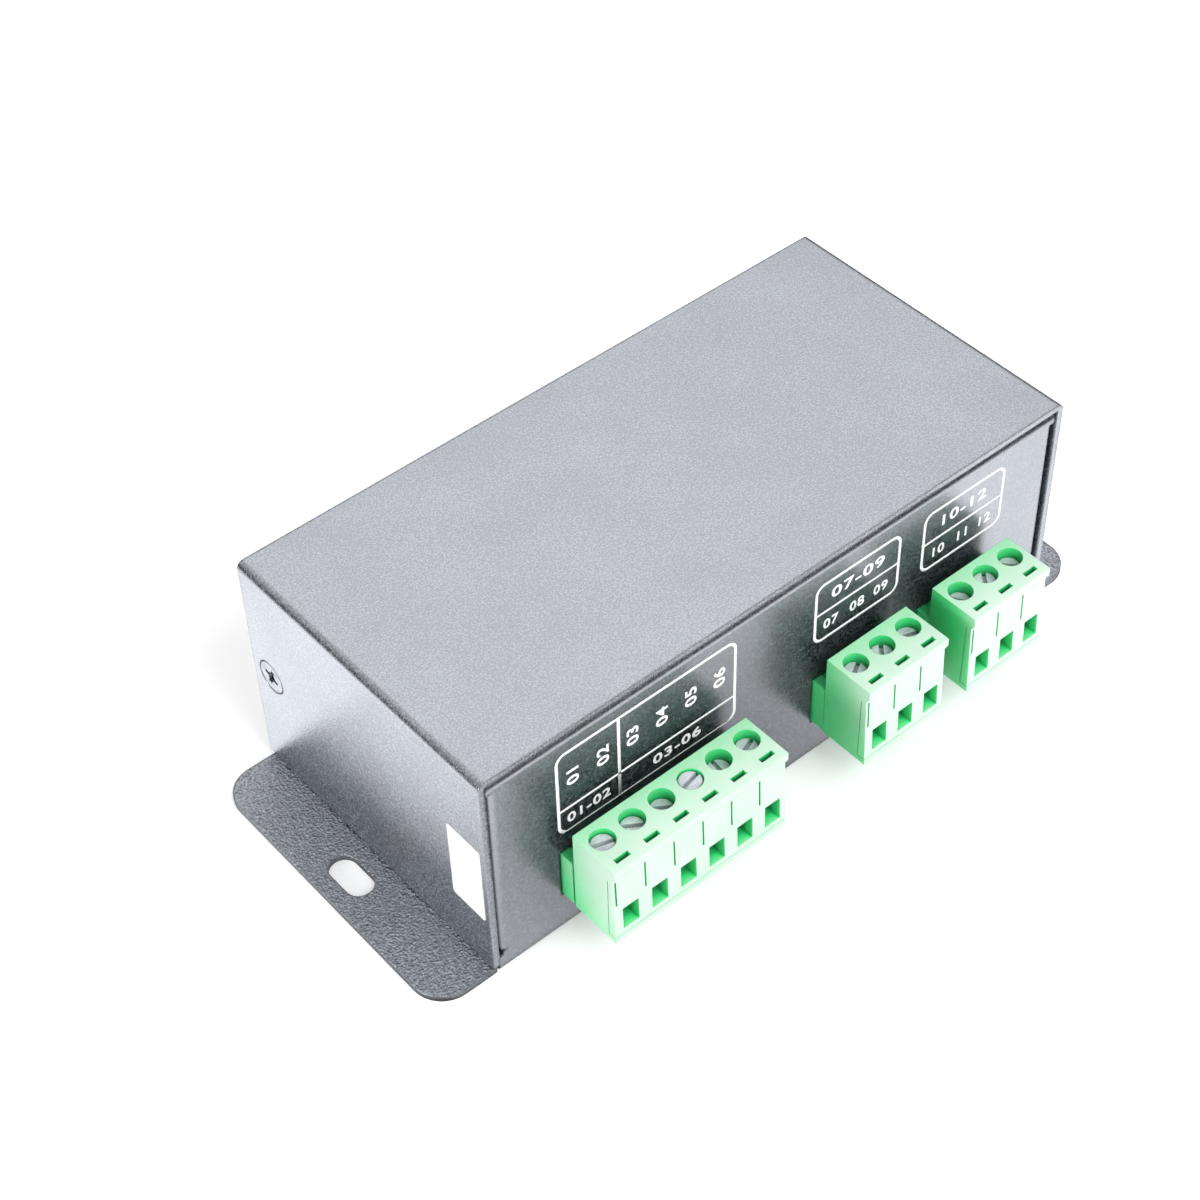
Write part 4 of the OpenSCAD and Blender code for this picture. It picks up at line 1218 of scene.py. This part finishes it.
@dataclass
class Studio:
    """White paper, soft lights, and the camera at the photograph's viewing angle."""

    azimuth_deg: float = -39.029
    elevation_deg: float = 46.129
    roll_deg: float = -1.991
    distance_mm: float = 364.148
    shift_right_mm: float = -9.389
    shift_up_mm: float = 11.239
    focal_share: float = 2435.644 / 1200
    sensor_mm: float = 36.0
    clip: Pair = (0.01, 10.0)
    floor_mm: float = 4000.0
    floor_rings: int = 8
    floor_sides: int = 64
    world_level: float = 0.55
    horizon_level: float = 0.03
    mirror_level: float = 0.85
    rise_range: Pair = (0.1, 0.75)
    lamps: list[tuple[str, tuple[float, float, float], float, float]] = field(
        default_factory=lambda: [
            ("rear_softbox", (0.42, 0.52, 0.70), 0.8, 1.42),
            ("left_softbox", (-1.0, 0.0, 0.28), 0.35, 4.6),
            ("front_softbox", (0.10, -0.75, 0.75), 0.7, 9.0),
        ]
    )
    unmirrored: tuple[str, ...] = ("front_softbox",)

    def camera(self) -> None:
        """Places the camera.

        Formula: it looks along the line given by azimuth and elevation, turned by the roll about that line, and
        it stands a distance back from the origin, moved right and up in its own picture plane.
        """
        az, el, roll = (math.radians(a) for a in (self.azimuth_deg, self.elevation_deg, self.roll_deg))
        back = Vector((math.cos(el) * math.sin(az), -math.cos(el) * math.cos(az), math.sin(el)))
        level = (-back).cross(Vector((0, 0, 1))).normalized()
        upright = level.cross(-back)
        right = math.cos(roll) * level + math.sin(roll) * upright
        up = -math.sin(roll) * level + math.cos(roll) * upright
        place = (back * self.distance_mm + right * self.shift_right_mm + up * self.shift_up_mm) * MM
        data = bpy.data.cameras.new("photo_camera")
        data.sensor_width = self.sensor_mm
        data.lens = self.focal_share * self.sensor_mm
        data.clip_start, data.clip_end = self.clip
        made = bpy.data.objects.new("photo_camera", data)
        turn = Matrix((right, up, back)).transposed().to_4x4()
        made.matrix_world = Matrix.Translation(place) @ turn
        bpy.context.scene.collection.objects.link(made)
        bpy.context.scene.camera = made

    def floor(self, under: float) -> None:
        """Lays the paper a hair under the base, as a disc of rings so wide that its rim lies far from the part.

        Formula: ring u and place v lie at u * radius * (cos 2 pi v, sin 2 pi v).

        Args:
            under: The paper's height.
        """
        count, sides = self.floor_rings, self.floor_sides
        rings = np.linspace(0, self.floor_mm * MM / 2, count + 1)[1:]
        turn = np.linspace(0, 2 * math.pi, sides, endpoint=False)
        x, y = rings[:, None] * np.cos(turn), rings[:, None] * np.sin(turn)
        points = np.stack([x, y, np.full_like(x, under)], axis=2).reshape(-1, 3)
        v = np.arange(sides)
        faces = in_triangles(ring_quads(count, sides), fan(len(points), v, (v + 1) % sides))
        points = np.vstack([points, [[0, 0, under]]])
        paper = make_object("studio_floor", points, faces, StudioPaper().build())
        paper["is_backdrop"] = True

    def light(self) -> None:
        """Hangs the soft lights.

        Those named in unmirrored light the part, but the folds of the sheet show no glint of them.
        """
        for name, place, size, power in self.lamps:
            data = bpy.data.lights.new(name, "AREA")
            data.shape = "SQUARE"
            data.size = size
            data.energy = power
            made = bpy.data.objects.new(name, data)
            made.location = place
            made.visible_glossy = name not in self.unmirrored
            made.rotation_mode = "QUATERNION"
            made.rotation_quaternion = (-Vector(place)).to_track_quat("-Z", "Y")
            bpy.context.scene.collection.objects.link(made)

    def room(self) -> None:
        """Sets the even light of the room.

        Camera rays see white. Mirrored rays see a room that is dark at the horizon and bright overhead.
        """
        world = bpy.data.worlds.new("room")
        world.use_nodes = True
        tree = world.node_tree
        tree.nodes.clear()
        camera, mirrored = ray_kinds(tree)
        ray = add_node(tree, "ShaderNodeTexCoord").outputs["Generated"]
        overhead = ramp(tree, split_axes(tree, ray)["Z"], *self.rise_range, self.horizon_level, self.mirror_level)
        lit = {"Factor": mirrored, "A": self.world_level, "B": overhead}
        seen = {"Factor": camera, "A": add_node(tree, "ShaderNodeMix", lit).outputs["Result"], "B": 1.0}
        level = add_node(tree, "ShaderNodeMix", seen).outputs["Result"]
        sky = add_node(tree, "ShaderNodeBackground", {"Color": linear("#ffffff"), "Strength": level})
        add_node(tree, "ShaderNodeOutputWorld", {"Surface": sky.outputs["Background"]})
        bpy.context.scene.world = world
        bpy.context.scene.view_settings.view_transform = "Standard"

    def build(self, under: float) -> None:
        """Sets up camera, floor, lights and room."""
        self.camera()
        self.floor(under)
        self.light()
        self.room()


def main() -> None:
    """Loads the frame, dresses it, adds the printed and stuck-on pieces, and sets the studio round it."""
    logging.basicConfig(level=logging.INFO, format="%(name)s %(message)s")
    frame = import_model()
    cad_box = [list(corner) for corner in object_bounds()]
    for part in (Case(), Terminals(), Electronics()):
        part.dress(frame["nodes"])
    front = Face(Wall.FRONT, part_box("base_tray")[0].y)
    end = Face(Wall.LEFT_END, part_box("cover")[0].x)
    screw_low, screw_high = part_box("cover_screws")
    screw = Vector((end.at, screw_low.y + HEAD_RADIUS_MM * MM, (screw_low.z + screw_high.z) / 2))
    pieces = FrontPrint().build(front)
    pieces += SwitchNumbers(pieces[0].data.materials[0]).build()
    pieces += SealSticker().build(end, screw)
    for piece in pieces:
        LOG.info("%s: %d faces", piece.name, len(piece.data.polygons))
    Studio().build(cad_box[0][2] - PAPER_GAP_MM * MM)


if __name__ == "__main__":
    main()
